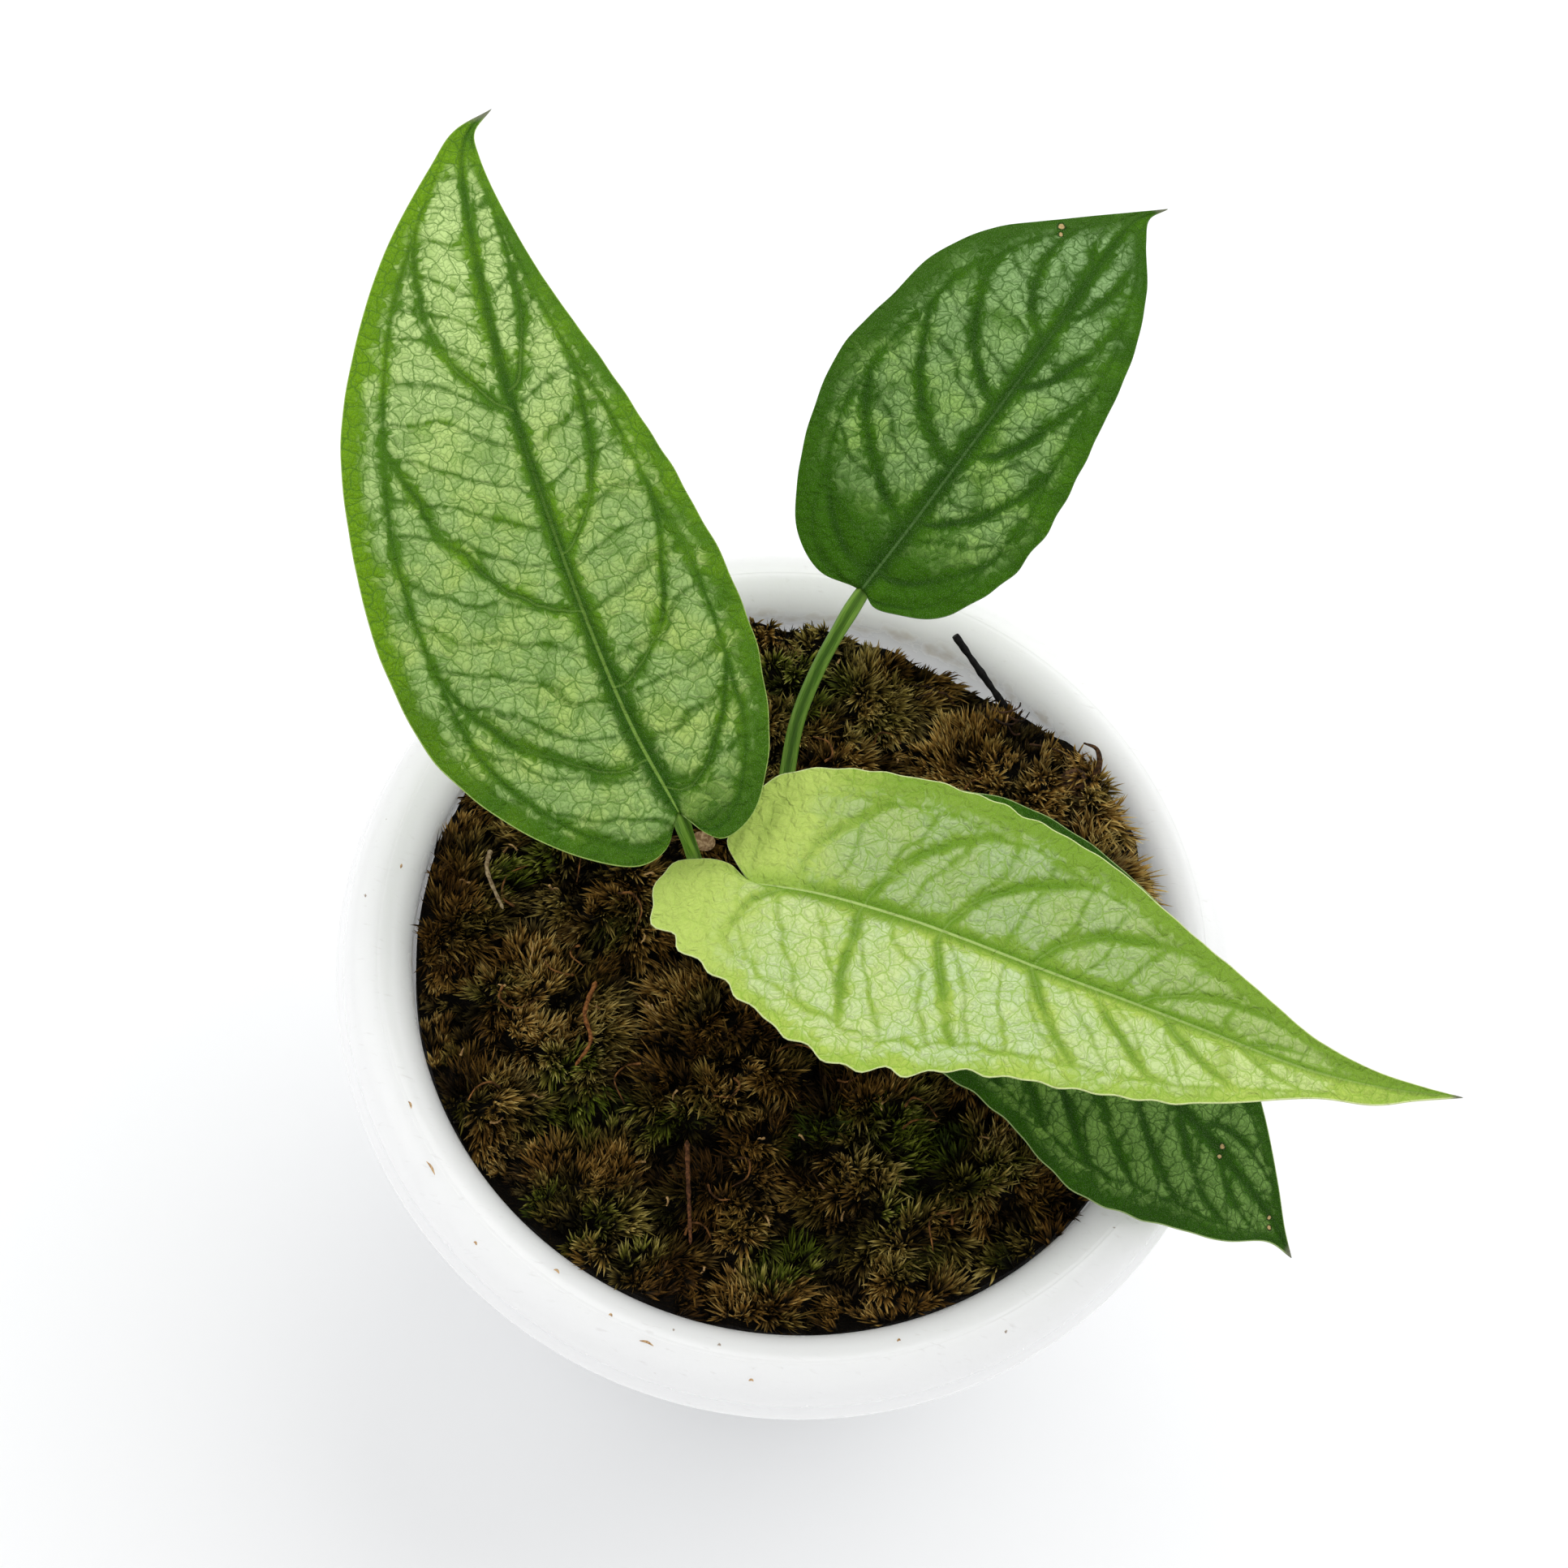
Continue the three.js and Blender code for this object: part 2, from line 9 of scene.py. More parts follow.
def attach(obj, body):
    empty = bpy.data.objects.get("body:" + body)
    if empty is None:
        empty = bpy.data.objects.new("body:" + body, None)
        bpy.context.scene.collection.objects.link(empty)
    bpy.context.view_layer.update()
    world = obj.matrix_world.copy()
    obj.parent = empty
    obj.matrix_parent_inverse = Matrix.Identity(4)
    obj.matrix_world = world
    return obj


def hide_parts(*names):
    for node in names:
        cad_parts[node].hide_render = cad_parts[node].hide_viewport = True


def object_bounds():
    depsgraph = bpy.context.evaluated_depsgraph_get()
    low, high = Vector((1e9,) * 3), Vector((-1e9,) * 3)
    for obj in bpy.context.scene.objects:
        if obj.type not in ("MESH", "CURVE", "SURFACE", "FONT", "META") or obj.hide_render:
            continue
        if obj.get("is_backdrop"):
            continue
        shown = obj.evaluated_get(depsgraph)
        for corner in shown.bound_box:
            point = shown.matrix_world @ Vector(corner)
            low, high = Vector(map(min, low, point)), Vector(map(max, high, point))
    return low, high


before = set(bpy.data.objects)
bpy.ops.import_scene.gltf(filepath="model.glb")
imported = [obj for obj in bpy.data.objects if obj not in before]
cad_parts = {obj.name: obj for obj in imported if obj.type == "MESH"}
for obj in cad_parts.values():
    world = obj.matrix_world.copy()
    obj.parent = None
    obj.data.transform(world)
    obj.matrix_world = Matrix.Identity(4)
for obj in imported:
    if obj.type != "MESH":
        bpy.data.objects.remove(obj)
cad_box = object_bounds()

# The pot is one round injection moulding in white gloss plastic, with a rolled rim, a fine mould line round
# its crown and a thin flange under it. It stands on its flat base, and six drain holes go through its floor.

mm = 0.001
pot_height = 115
flange_radius = 75
flange_bottom = 104.2
crown_radius = 68.2
roll_radius = 5.7
base_radius = 46
pot_wall = 3.3
pot_floor = 4
drain_hole_count = 6
drain_hole_radius = 4
drain_circle_radius = 27
pot_segments = 240
mould_line_width = 0.5
mould_line_depth = 0.12
# Radius and height of the wall, from the foot up to the flange.
body_profile = [[base_radius, 3], [52.4, 25], [58.6, 58], [63.4, 88], [66, 103]]


def smooth_line(points, shares):
    """Places at those shares of the length of a smooth curve through the points."""
    knots = np.array(points, float)
    knots = np.vstack([2 * knots[0] - knots[1], knots, 2 * knots[-1] - knots[-2]])
    t = np.linspace(0, 1, 33)[:-1, None]
    fine = []
    for before, start, end, after in zip(knots, knots[1:], knots[2:], knots[3:]):
        gap_before, gap, gap_after = [
            np.linalg.norm(b - a) ** 0.5 for a, b in ((before, start), (start, end), (end, after))
        ]
        chord = end - start
        leave = ((start - before) / gap_before - (end - before) / (gap_before + gap)) * gap + chord
        arrive = ((after - end) / gap_after - (after - start) / (gap_after + gap)) * gap + chord
        square, cube = 3 * chord - 2 * leave - arrive, leave + arrive - 2 * chord
        fine.append(start + leave * t + square * t**2 + cube * t**3)
    fine = np.vstack([*fine, knots[-2]])
    length = np.concatenate([[0], np.cumsum(np.linalg.norm(np.diff(fine, axis=0), axis=1))])
    reach = np.asarray(shares) * length[-1]
    return np.stack([np.interp(reach, length, column) for column in fine.T], axis=-1)


def grid_faces(rows, columns, first=0):
    """Four-sided faces of a grid of points that are numbered row by row from the first."""
    row, column = np.meshgrid(np.arange(rows - 1), np.arange(columns - 1), indexing="ij")
    corner = first + row * columns + column
    return np.stack([corner, corner + 1, corner + columns + 1, corner + columns], axis=-1).reshape(-1, 4)


def new_piece(name, points, faces, finishes, slot, replaces=(), maps=None, sharp=40, finish_numbers=None):
    """A piece from points in millimetres, arrays of faces, its finishes, and maps of values that each point
    has. Points that lie in one place become one."""
    mesh = bpy.data.meshes.new(name)
    mesh.vertices.add(len(points))
    mesh.vertices.foreach_set("co", (np.asarray(points) * mm).astype(np.float32).ravel())
    sizes = np.concatenate([np.full(len(f), f.shape[1]) for f in faces])
    corners = np.concatenate([f.ravel() for f in faces]).astype(np.int32)
    mesh.loops.add(len(corners))
    mesh.loops.foreach_set("vertex_index", corners)
    mesh.polygons.add(len(sizes))
    mesh.polygons.foreach_set("loop_start", (np.cumsum(sizes) - sizes).astype(np.int32))
    if finish_numbers is not None:
        mesh.polygons.foreach_set("material_index", finish_numbers.astype(np.int32))
    for key, values in (maps or {}).items():
        mesh.uv_layers.new(name=key).data.foreach_set("uv", values[corners].astype(np.float32).ravel())
    mesh.update(calc_edges=True)
    welded = bmesh.new()
    welded.from_mesh(mesh)
    bmesh.ops.remove_doubles(welded, verts=welded.verts, dist=1e-7)
    welded.to_mesh(mesh)
    welded.free()
    mesh.shade_smooth()
    mesh.set_sharp_from_angle(angle=math.radians(sharp))
    for finish in finishes:
        mesh.materials.append(finish)
    piece = bpy.data.objects.new(name, mesh)
    bpy.context.scene.collection.objects.link(piece)
    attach(piece, "root")
    if replaces:
        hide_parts(*replaces)
    return piece


class Link:
    """One socket of a finish. A sum written with it adds the Math nodes of that sum."""

    def __init__(self, tree, socket=None):
        self.tree = tree
        self.socket = socket

    def node(self, kind, settings, sockets, output=0):
        """Adds a node of that kind, makes its settings, then fills its sockets with values or links."""
        made = self.tree.nodes.new("ShaderNode" + kind)
        for key, value in settings.items():
            setattr(made, key, value)
        for key, value in sockets.items():
            if isinstance(value, Link):
                self.tree.links.new(value.socket, made.inputs[key])
            else:
                made.inputs[key].default_value = value
        return Link(self.tree, made.outputs[output])

    def math(self, operation, *terms):
        return self.node("Math", {"operation": operation}, dict(enumerate(terms)))

    def __add__(self, other):
        return self.math("ADD", self, other)

    def __sub__(self, other):
        return self.math("SUBTRACT", self, other)

    def __rsub__(self, other):
        return self.math("SUBTRACT", other, self)

    def __mul__(self, other):
        return self.math("MULTIPLY", self, other)

    def __truediv__(self, other):
        return self.math("DIVIDE", self, other)

    def __pow__(self, other):
        return self.math("POWER", self, other)

    def __abs__(self):
        return self.math("ABSOLUTE", self)

    __radd__ = __add__
    __rmul__ = __mul__

    def fraction(self):
        return self.math("FRACT", self)

    def cosine(self):
        return self.math("COSINE", self)

    def most(self, other):
        return self.math("MAXIMUM", self, other)

    def least(self, other):
        return self.math("MINIMUM", self, other)

    def rise(self, start, end):
        """Goes softly from 0 at start to 1 at end, or the other way where start is the larger."""
        ramp = {"Value": self, "From Min": start, "From Max": end}
        return self.node("MapRange", {"interpolation_type": "SMOOTHSTEP"}, ramp)

    def place(self):
        """The place on the piece, in millimetres."""
        return self.node("TexCoord", {}, {}, "Object").scaled(1 / mm, 1 / mm, 1 / mm)

    def mapped(self, name):
        """The two values that the map of that name gives each place."""
        return self.node("UVMap", {"uv_map": name}, {}, "UV")

    def part(self, axis):
        return self.node("SeparateXYZ", {}, {0: self}, axis)

    def scaled(self, *sizes):
        return self.node("VectorMath", {"operation": "MULTIPLY"}, {0: self, 1: sizes})

    def warped(self, scale, amount):
        """The place, pushed about by a noise of that scale by up to half the amount."""
        push = self.node("TexNoise", {}, {"Vector": self, "Scale": scale, "Detail": 2}, "Color")
        return self.node("VectorMath", {"operation": "MULTIPLY_ADD"}, {0: push, 1: (amount,) * 3, 2: self})

    def noise(self, scale, detail=2):
        return self.node("TexNoise", {}, {"Vector": self, "Scale": scale, "Detail": detail})

    def cells(self, size, feature, output="Distance", dimensions="2D"):
        """Cells of about that size: the distance to their edges or middles, or a colour of their own."""
        settings = {"voronoi_dimensions": dimensions, "feature": feature}
        return self.node("TexVoronoi", settings, {"Vector": self, "Scale": 1 / size}, output)

    def tint(self, first, second):
        """The first colour where this is 0 and the second where it is 1."""
        return self.node("Mix", {"data_type": "RGBA"}, {0: self, 6: first, 7: second}, 2)


def paint(red, green, blue):
    """A colour as a photograph gives it, from 0 to 255, as the shader wants it."""
    levels = (red, green, blue)
    return tuple(((c / 255 + 0.055) / 1.055) ** 2.4 if c > 10 else c / 3295 for c in levels) + (1,)


def new_finish(name):
    """A new material, and a link to start its sums from."""
    material = bpy.data.materials.new(name)
    material.use_nodes = True
    return material, Link(material.node_tree)


def dress(material, sockets, height=None, depth=0.0):
    """Fills the shader's sockets. A height from 0 to 1 stands up by that depth in millimetres."""
    shader = material.node_tree.nodes["Principled BSDF"]
    if height is not None:
        bumped = height.node("Bump", {}, {"Height": height, "Distance": depth * mm})
        sockets = {**sockets, "Normal": bumped}
    for key, value in sockets.items():
        if isinstance(value, Link):
            material.node_tree.links.new(value.socket, shader.inputs[key])
        else:
            shader.inputs[key].default_value = value


def turned(profile, segments):
    """Points and faces of a solid turned about the pot's axis. Its profile starts and ends on the axis."""
    angle = np.linspace(0, 2 * np.pi, segments + 1)
    angle[-1] = 0
    radius, height = np.array(profile, float).T[:, :, None]
    points = np.stack([radius * np.cos(angle), radius * np.sin(angle), height + 0 * angle], axis=-1)
    return points.reshape(-1, 3), [grid_faces(len(profile), segments + 1)]


def pot_profile():
    roll_height = pot_height - roll_radius
    body = smooth_line(body_profile, np.linspace(0, 1, 24)).tolist()
    profile = [[0, 0], [base_radius - 3, 0], [base_radius - 1.6, 0.25], [base_radius - 0.6, 1]] + body
    profile += [[66.3, flange_bottom - 0.3], [66.8, flange_bottom]]
    for inward, height in ((0.7, 0), (0.15, 0.3), (0, 0.8), (0, 1.5), (0.2, 2), (0.7, 2.2)):
        profile.append([flange_radius - inward, flange_bottom + height])
    line_half = math.degrees(mould_line_width / roll_radius) / 2
    line = [90 - line_half, 90, 90 + line_half]
    for degrees in [*np.arange(-22.5, 88, 5), *line, *np.arange(95, 181, 5)]:
        radius = roll_radius - (mould_line_depth if degrees == 90 else 0)
        angle = math.radians(degrees)
        profile.append([crown_radius + radius * math.cos(angle), roll_height + radius * math.sin(angle)])
    profile += [[radius - pot_wall, height] for radius, height in body[::-1][:-1]]
    return profile + [[base_radius - 2.4, pot_floor + 2.6], [base_radius - 5, pot_floor], [0, pot_floor]]


def pot_finish():
    """White gloss plastic with soft scuffs, a dull film inside the rim and fine crumbs on top of it."""
    material, start = new_finish("white_gloss_plastic")
    place = start.place()
    x, y, z = place.part("X"), place.part("Y"), place.part("Z")
    from_axis = (x * x + y * y) ** 0.5
    inside = from_axis.rise(64.5, 62.8) * z.rise(104, 107) * z.rise(113, 110)
    film = inside * place.noise(0.25, 4).rise(0.42, 0.7)
    ragged = place.warped(2, 0.5)
    speck_size = ragged.cells(6.25, "F1", "Color", "3D").part("X")
    from_speck = ragged.cells(6.25, "F1", dimensions="3D")
    crumb = (from_speck / speck_size).rise(0.06, 0.03) * speck_size.rise(0.6, 0.8) * z.rise(107, 109)
    scuff = place.scaled(0.25, 0.9, 0.3).warped(0.4, 1.5).noise(1.4, 5).rise(0.62, 0.74)
    white = scuff.tint(paint(243, 244, 246), paint(228, 228, 229))
    colour = (film * 0.4).tint(white, paint(176, 160, 134))
    colour = (crumb * 0.8).tint(colour, paint(120, 92, 60))
    roughness = 0.24 + 0.1 * scuff + 0.3 * film
    glow = {"Subsurface Weight": 1.0, "Subsurface Scale": 0.02, "Subsurface Radius": (1, 1, 1)}
    sockets = {"Base Color": colour, "Roughness": roughness, "IOR": 1.48, **glow}
    dress(material, sockets, place.noise(0.5, 3), 0.05)
    return material


pot_points, pot_faces = turned(pot_profile(), pot_segments)
pot = new_piece("pot_moulding", pot_points, pot_faces, [pot_finish()], "pot", ["pot"], sharp=50)


def cut_drain_holes():
    """Cuts the holes through the floor of the finished moulding."""
    points, faces = turned([[0, -5], [drain_hole_radius, -5], [drain_hole_radius, 9], [0, 9]], 32)
    angles = np.arange(drain_hole_count) * 2 * np.pi / drain_hole_count
    shifts = np.stack([np.cos(angles), np.sin(angles), 0 * angles], axis=-1) * drain_circle_radius
    all_points = np.vstack([points + shift for shift in shifts])
    all_faces = [face + i * len(points) for i in range(drain_hole_count) for face in faces]
    drill = new_piece("drain_drill", all_points, all_faces, [], "pot")
    cut = pot.modifiers.new("drain holes", "BOOLEAN")
    cut.object = drill
    cut.solver = "EXACT"
    bpy.context.view_layer.update()
    seen = pot.evaluated_get(bpy.context.evaluated_depsgraph_get())
    holed = bpy.data.meshes.new_from_object(seen)
    pot.modifiers.clear()
    pot.data = holed
    bpy.data.objects.remove(drill)


cut_drain_holes()

# The soil is a coarse, moist potting mix of bark and peat that fills the pot up to the moss. It shows only
# through the drain holes.


def soil_finish():
    material, start = new_finish("moist_potting_mix")
    place = start.place()
    chip = place.warped(0.6, 1.2).cells(2.5, "F1", "Color", "3D")
    light = chip.part("X").rise(0.5, 0.95)
    colour = light.tint(paint(26, 20, 12), paint(84, 60, 38))
    grain = place.noise(2.2, 5) * 0.6 + 0.4 * light
    dress(material, {"Base Color": colour, "Roughness": 0.85 - 0.15 * light}, grain, 0.8)
    return material


def refinish(node, finish):
    """Gives another finish to a node that keeps its own solid."""
    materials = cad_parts[node].data.materials
    materials.clear()
    materials.append(finish)


refinish("soil", soil_finish())

# The stem is short and upright, ringed by old leaf joints, with its roots down in the soil. It grew as one
# piece with the roots, and the leaf stalks clasp it just above the moss.

stem_base = [-9, 1.5, 80]
stem_crown = [-9.2, 0.8, 127]
stem_radius = 3
joint_count = 6
root_count = 7
root_reach = 30
channel_spread = 0.5


def tube(path, radius, sides, steps, channel=0.0, face=(0, 0, 1)):
    """Points, faces and skin map of a closed tube. Its radius is a function of the share of its length. The
    channel is that share of the radius deep, and runs along the side of the tube that looks that way."""
    share = np.linspace(0, 1, steps + 1)
    centre = smooth_line(path, share)
    along = np.gradient(centre, axis=0)
    along /= np.linalg.norm(along, axis=1, keepdims=True)
    up = face - (along @ face)[:, None] * along
    up /= np.linalg.norm(up, axis=1, keepdims=True)
    across = np.cross(along, up)
    turn = np.linspace(0, 1, sides + 1)
    angle = 2 * np.pi * (turn % 1)
    groove = 1 - channel * np.exp(-((2 * np.pi * np.minimum(turn, 1 - turn) / channel_spread) ** 2))
    size = (radius(share)[:, None] * groove)[..., None]
    spoke = np.cos(angle)[:, None] * up[:, None] + np.sin(angle)[:, None] * across[:, None]
    points = centre[:, None] + size * spoke
    length = np.linalg.norm(np.diff(centre, axis=0), axis=1).sum()
    skin = np.stack([turn + 0 * share[:, None], length * share[:, None] + 0 * turn], axis=-1)
    ends = np.array([np.arange(sides)[::-1], steps * (sides + 1) + np.arange(sides)])
    return points.reshape(-1, 3), [grid_faces(steps + 1, sides + 1), ends], skin.reshape(-1, 2)


def joined(tubes):
    """Several tubes as one set of points, faces and skin map."""
    count = 0
    points, faces, skins = [], [], []
    for tube_points, tube_faces, tube_skin in tubes:
        faces += [face + count for face in tube_faces]
        count += len(tube_points)
        points.append(tube_points)
        skins.append(tube_skin)
    return np.vstack(points), faces, np.vstack(skins)


def tube_piece(name, tubes, finish, slot, replaces=(), ribbed=False):
    """A piece made of closed tubes. A ribbed finish reads their skin map."""
    points, faces, skin = joined(tubes)
    maps = {"skin": skin} if ribbed else None
    new_piece(name, points, faces, [finish], slot, replaces, maps)


def stalk_finish(name, green, pale, shade):
    """Living stalk skin: fine ribs along it, darker in its channel and paler beside the channel."""
    material, start = new_finish(name)
    skin = start.mapped("skin")
    turn, along = skin.part("X"), skin.part("Y")
    from_channel = turn.least(1 - turn)
    rib = skin.scaled(26, 0.12, 1).noise(2.2, 3)
    fleck = skin.scaled(9, 1.6, 1).noise(1.5, 3)
    colour = rib.rise(0.35, 0.68).tint(green, pale)
    # The channel is painted darker: painted shade in its hollow.
    colour = (from_channel.rise(0.1, 0.02) * 0.75).tint(colour, shade)
    colour = (from_channel.rise(0.08, 0.13) * from_channel.rise(0.2, 0.14) * 0.7).tint(colour, pale)
    colour = (along.rise(12, 0) * 0.5 + fleck.rise(0.66, 0.8) * 0.25).tint(colour, paint(122, 96, 52))
    sockets = {"Base Color": colour, "Roughness": 0.42 + 0.1 * fleck, "Specular IOR Level": 0.2}
    dress(material, sockets, rib, 0.12)
    return material


def swollen_joints(t):
    return stem_radius * (1 - 0.2 * t + 0.08 * np.cos(2 * np.pi * joint_count * t))


def root_radius(t):
    return 1.4 - 0.9 * t


def stem_tubes():
    tubes = [tube([stem_base, [-9.5, 1, 103], stem_crown], swollen_joints, 32, 90, face=(1, 0, 0))]
    draw = np.random.default_rng(11)
    for i in range(root_count):
        angle = 2 * np.pi * (i + 0.5 * draw.random()) / root_count
        reach = root_reach * (0.75 + 0.25 * draw.random())
        top = stem_base[2] + 3 + 9 * draw.random()
        path = [
            [
                stem_base[0] + reach * share * math.cos(angle + 0.5 * share),
                stem_base[1] + reach * share * math.sin(angle + 0.5 * share),
                top - drop,
            ]
            for share, drop in ((0, 0), (0.35, 3), (0.75, 16), (1, 36))
        ]
        tubes.append(tube(path, root_radius, 10, 30))
    return tubes


stem_green = stalk_finish("stem_skin", paint(96, 112, 52), paint(140, 146, 88), paint(70, 84, 36))
tube_piece("stem_with_roots", stem_tubes(), stem_green, "stem", ["stem"], ribbed=True)

# The four leaf stalks are living channelled stalks. Each clasps the stem at its foot, rises in a curve and
# swells into a short joint under its blade.

# A blade is laid out flat in millimetres, with x from its joint towards its tip and y to its left. Its arch,
# droop and fold then bend it. The lists of veins say where each leaves the midrib, from 0 at the foot of the
# blade to 1 at its tip, and the climbs say how far and how steeply they rise from there. A stalk is its
# points from the stem up to the joint, and the way its channel faces.
leaves = {
    "left": {
        "joint": [-23.4, 0.4, 161], "heading": 121, "pitch": 7, "roll": 0,
        "length": 121, "arch": 9, "droop": 6, "fold": 0.1,
        "wave": 0.5, "waves": 9, "scallop": 0.004, "ridge": -0.25,
        "left_climb": [0.3, 2.2], "right_climb": [0.3, 2.2],
        "midrib": [[0, 0], [15, 4.5], [40, 8.5], [70, 10.5], [100, 9], [113, 7], [118, 4.5], [121, 0]],
        "left_edge": [[-1, 0.8], [-5, 3], [-6.8, 7.5], [-4, 16], [3, 26], [14, 35], [30, 39.6],
                      [47, 40.2], [65, 38], [80, 32.5], [97, 23.5], [112, 12.3], [118, 7], [121, 0]],
        "right_edge": [[-0.6, -0.8], [-4, -3.3], [-5.5, -6], [-3, -11], [6, -15.6], [19, -17.2],
                       [32, -15.8], [50, -11.3], [68, -5.8], [86, 0], [101, 3.2], [112, 4.3], [117, 3.8],
                       [121, 0]],
        "left_veins": [0.17, 0.418, 0.66],
        "right_veins": [0.1, 0.3, 0.49, 0.68],
        "stalk": [[-10, 1, 121], [-13, -1.5, 129], [-15.9, -3.2, 137], [-19.2, -2.2, 150],
                  [-21.5, -0.9, 156.5]],
        "stalk_face": [0.3, 0.2, 1],
    },
    "back": {
        "joint": [-6.2, 46.2, 159], "heading": 69, "pitch": 12, "roll": -4,
        "length": 82, "arch": 7, "droop": 8, "fold": 0.16,
        "wave": 0.5, "waves": 7, "scallop": 0.008, "ridge": -0.25,
        "left_climb": [0.26, 2.2], "right_climb": [0.26, 2.2],
        "midrib": [[0, 0], [15, -0.9], [36, -1], [52, 0], [70, 2.2], [77, 2.4], [82, 0]],
        "left_edge": [[-0.6, 1.5], [-1.8, 7.3], [1, 13.5], [8, 18.4], [18, 22.4], [28, 24.4], [40, 23.2],
                      [49, 22.4], [59, 18.5], [69, 10.8], [77, 4.3], [82, 0]],
        "right_edge": [[-0.5, -0.9], [-1.5, -3.2], [-0.6, -7], [2.2, -12.7], [8.5, -17.3], [18, -19.7],
                       [27, -19.3], [40, -16.8], [54, -13.2], [66, -7.4], [74, -1.5], [78.5, 1], [82, 0]],
        "left_veins": [0.1, 0.27, 0.42, 0.56, 0.7, 0.84],
        "right_veins": [0.12, 0.3, 0.46, 0.61, 0.75, 0.87],
        "stalk": [[-9, 2.5, 119.5], [-8.4, 10, 122.5], [-8.4, 16.5, 125.5], [-9.7, 23.7, 132],
                  [-10.4, 29.7, 140], [-9.4, 36.2, 148], [-7.6, 41.7, 155]],
        "stalk_face": [0, -0.5, 1],
    },
    "newest": {
        "joint": [-9.7, -5.4, 155], "heading": 1, "pitch": 2, "roll": -4,
        "length": 115, "arch": 7, "droop": 10, "fold": 0.12,
        "wave": 0.8, "waves": 13, "scallop": 0.026, "ridge": -0.1,
        "left_climb": [0.19, 1.8], "right_climb": [0.09, 1.1],
        "midrib": [[0, 0], [10, 0.4], [25, -0.8], [48, -3.8], [75, -5.4], [90, -5.4], [102, -3.4],
                   [115, 0.5]],
        "left_edge": [[-0.7, 0.7], [-3.5, 3.5], [-5.4, 6.3], [-4.4, 10.5], [-2, 16.5], [4, 20.2],
                      [14, 21.7], [26, 21.8], [40, 19.3], [54, 15.1], [66, 9.4], [79, 4], [90, -0.2],
                      [100, -1.3], [108, -0.6], [115, 0.5]],
        "right_edge": [[-1.2, 0.5], [-3.8, 2.5], [-8, 2.7], [-12.5, 1], [-14.2, -3.5], [-13, -9],
                       [-8, -13], [0, -17.8], [8, -22.8], [18, -27.4], [28, -27.2], [40, -23.8],
                       [56, -21.9], [71, -18.8], [83, -13.7], [92, -9.5], [101, -6.9], [108, -3.1],
                       [115, 0.5]],
        "left_veins": [0.16, 0.29, 0.41, 0.53, 0.66, 0.78],
        "right_veins": [0.13, 0.29, 0.41, 0.53, 0.61, 0.69, 0.77, 0.85],
        "stalk": [[-9, 0.8, 126], [-11.4, -0.6, 137], [-12, -3.4, 147], [-11, -4.9, 152.5]],
        "stalk_face": [1, 0, 0.3],
    },
    "low": {
        "joint": [7.1, 4.1, 128], "heading": -17, "pitch": -8, "roll": 2,
        "length": 92, "arch": 7, "droop": 14, "fold": 0.06,
        "wave": 0.6, "waves": 8, "scallop": 0.016, "ridge": -0.25,
        "left_climb": [0.2, 2], "right_climb": [0.15, 1.6],
        "midrib": [[0, 0], [20, 3.4], [44, 5.2], [60, 5.8], [74, 4.2], [86, 2.2], [92, 0]],
        "left_edge": [[-0.6, 0.9], [-5.2, 3.5], [-7.4, 10], [-6, 18], [0, 25.8], [10, 30.5], [22, 31.7],
                      [36, 30.6], [50, 27.4], [62, 22], [73, 15.2], [83, 7.3], [88, 2.9], [92, 0]],
        "right_edge": [[-0.5, -0.9], [-2, -5], [0.8, -10], [7.5, -14], [18, -15.4], [28, -14.2],
                       [38, -14.6], [52, -17.2], [62, -14.9], [71, -10.8], [80, -6.3], [87, -0.9],
                       [92, 0]],
        "left_veins": [0.1, 0.27, 0.42, 0.55, 0.68, 0.8],
        "right_veins": [0.1, 0.22, 0.33, 0.43, 0.52, 0.6, 0.68, 0.76, 0.84],
        "stalk": [[-8.6, 0.6, 117.5], [-4.5, 1.6, 121], [1.5, 3, 123], [5.8, 3.8, 124.8]],
        "stalk_face": [0, 0, 1],
    },
}
keel_depth = 1


def leaf_frame(leaf):
    turn = Matrix.Rotation(math.radians(leaf["heading"]), 4, "Z")
    turn = turn @ Matrix.Rotation(-math.radians(leaf["pitch"]), 4, "Y")
    turn = turn @ Matrix.Rotation(math.radians(leaf["roll"]), 4, "X")
    return np.array(Matrix.Translation(leaf["joint"]) @ turn)


def placed(leaf, points):
    """Points of the leaf's own frame, set where the leaf is."""
    turn = leaf_frame(leaf)
    return points @ turn[:3, :3].T + turn[:3, 3]


def stalk_end(leaf):
    """The stalk's last point, tucked up under the blade's keel."""
    return placed(leaf, np.array([[0.4, 0, -keel_depth * 0.9]]))[0].tolist()


def stalk_radius(t):
    foot = 0.9 * (1 - t) ** 6
    joint = 0.16 * np.exp(-(((t - 0.93) / 0.05) ** 2))
    return (1.15 + foot + 0.15 * (1 - t) + joint) * np.clip((1 - t) / 0.012, 0.25, 1) ** 0.5


stalk_green = stalk_finish("leaf_stalk_skin", paint(70, 116, 20), paint(120, 156, 60), paint(48, 84, 8))
for leaf_name, leaf in leaves.items():
    path = [*leaf["stalk"], stalk_end(leaf)]
    stalk = tube(path, stalk_radius, 28, 90, channel=0.3, face=leaf["stalk_face"])
    replaced = ["petiole_" + leaf_name]
    tube_piece("stalk_" + leaf_name, [stalk], stalk_green, "petiole", replaced, ribbed=True)

# The leaf blades are thin living tissue, each grown as one piece: puffed between sunken side veins, waved
# along the margin, silver-green in the panels and dark along the net of veins. A keel runs under the midrib.

blade_rows = 170
blade_columns = 44
blade_thickness = 0.55
keel_width = 1
quilt_depth = 0.35
vein_groove_width = 1.6


def midrib_offset(leaf, x):
    points = np.array(leaf["midrib"], float)
    return np.interp(x, points[:, 0], points[:, 1])


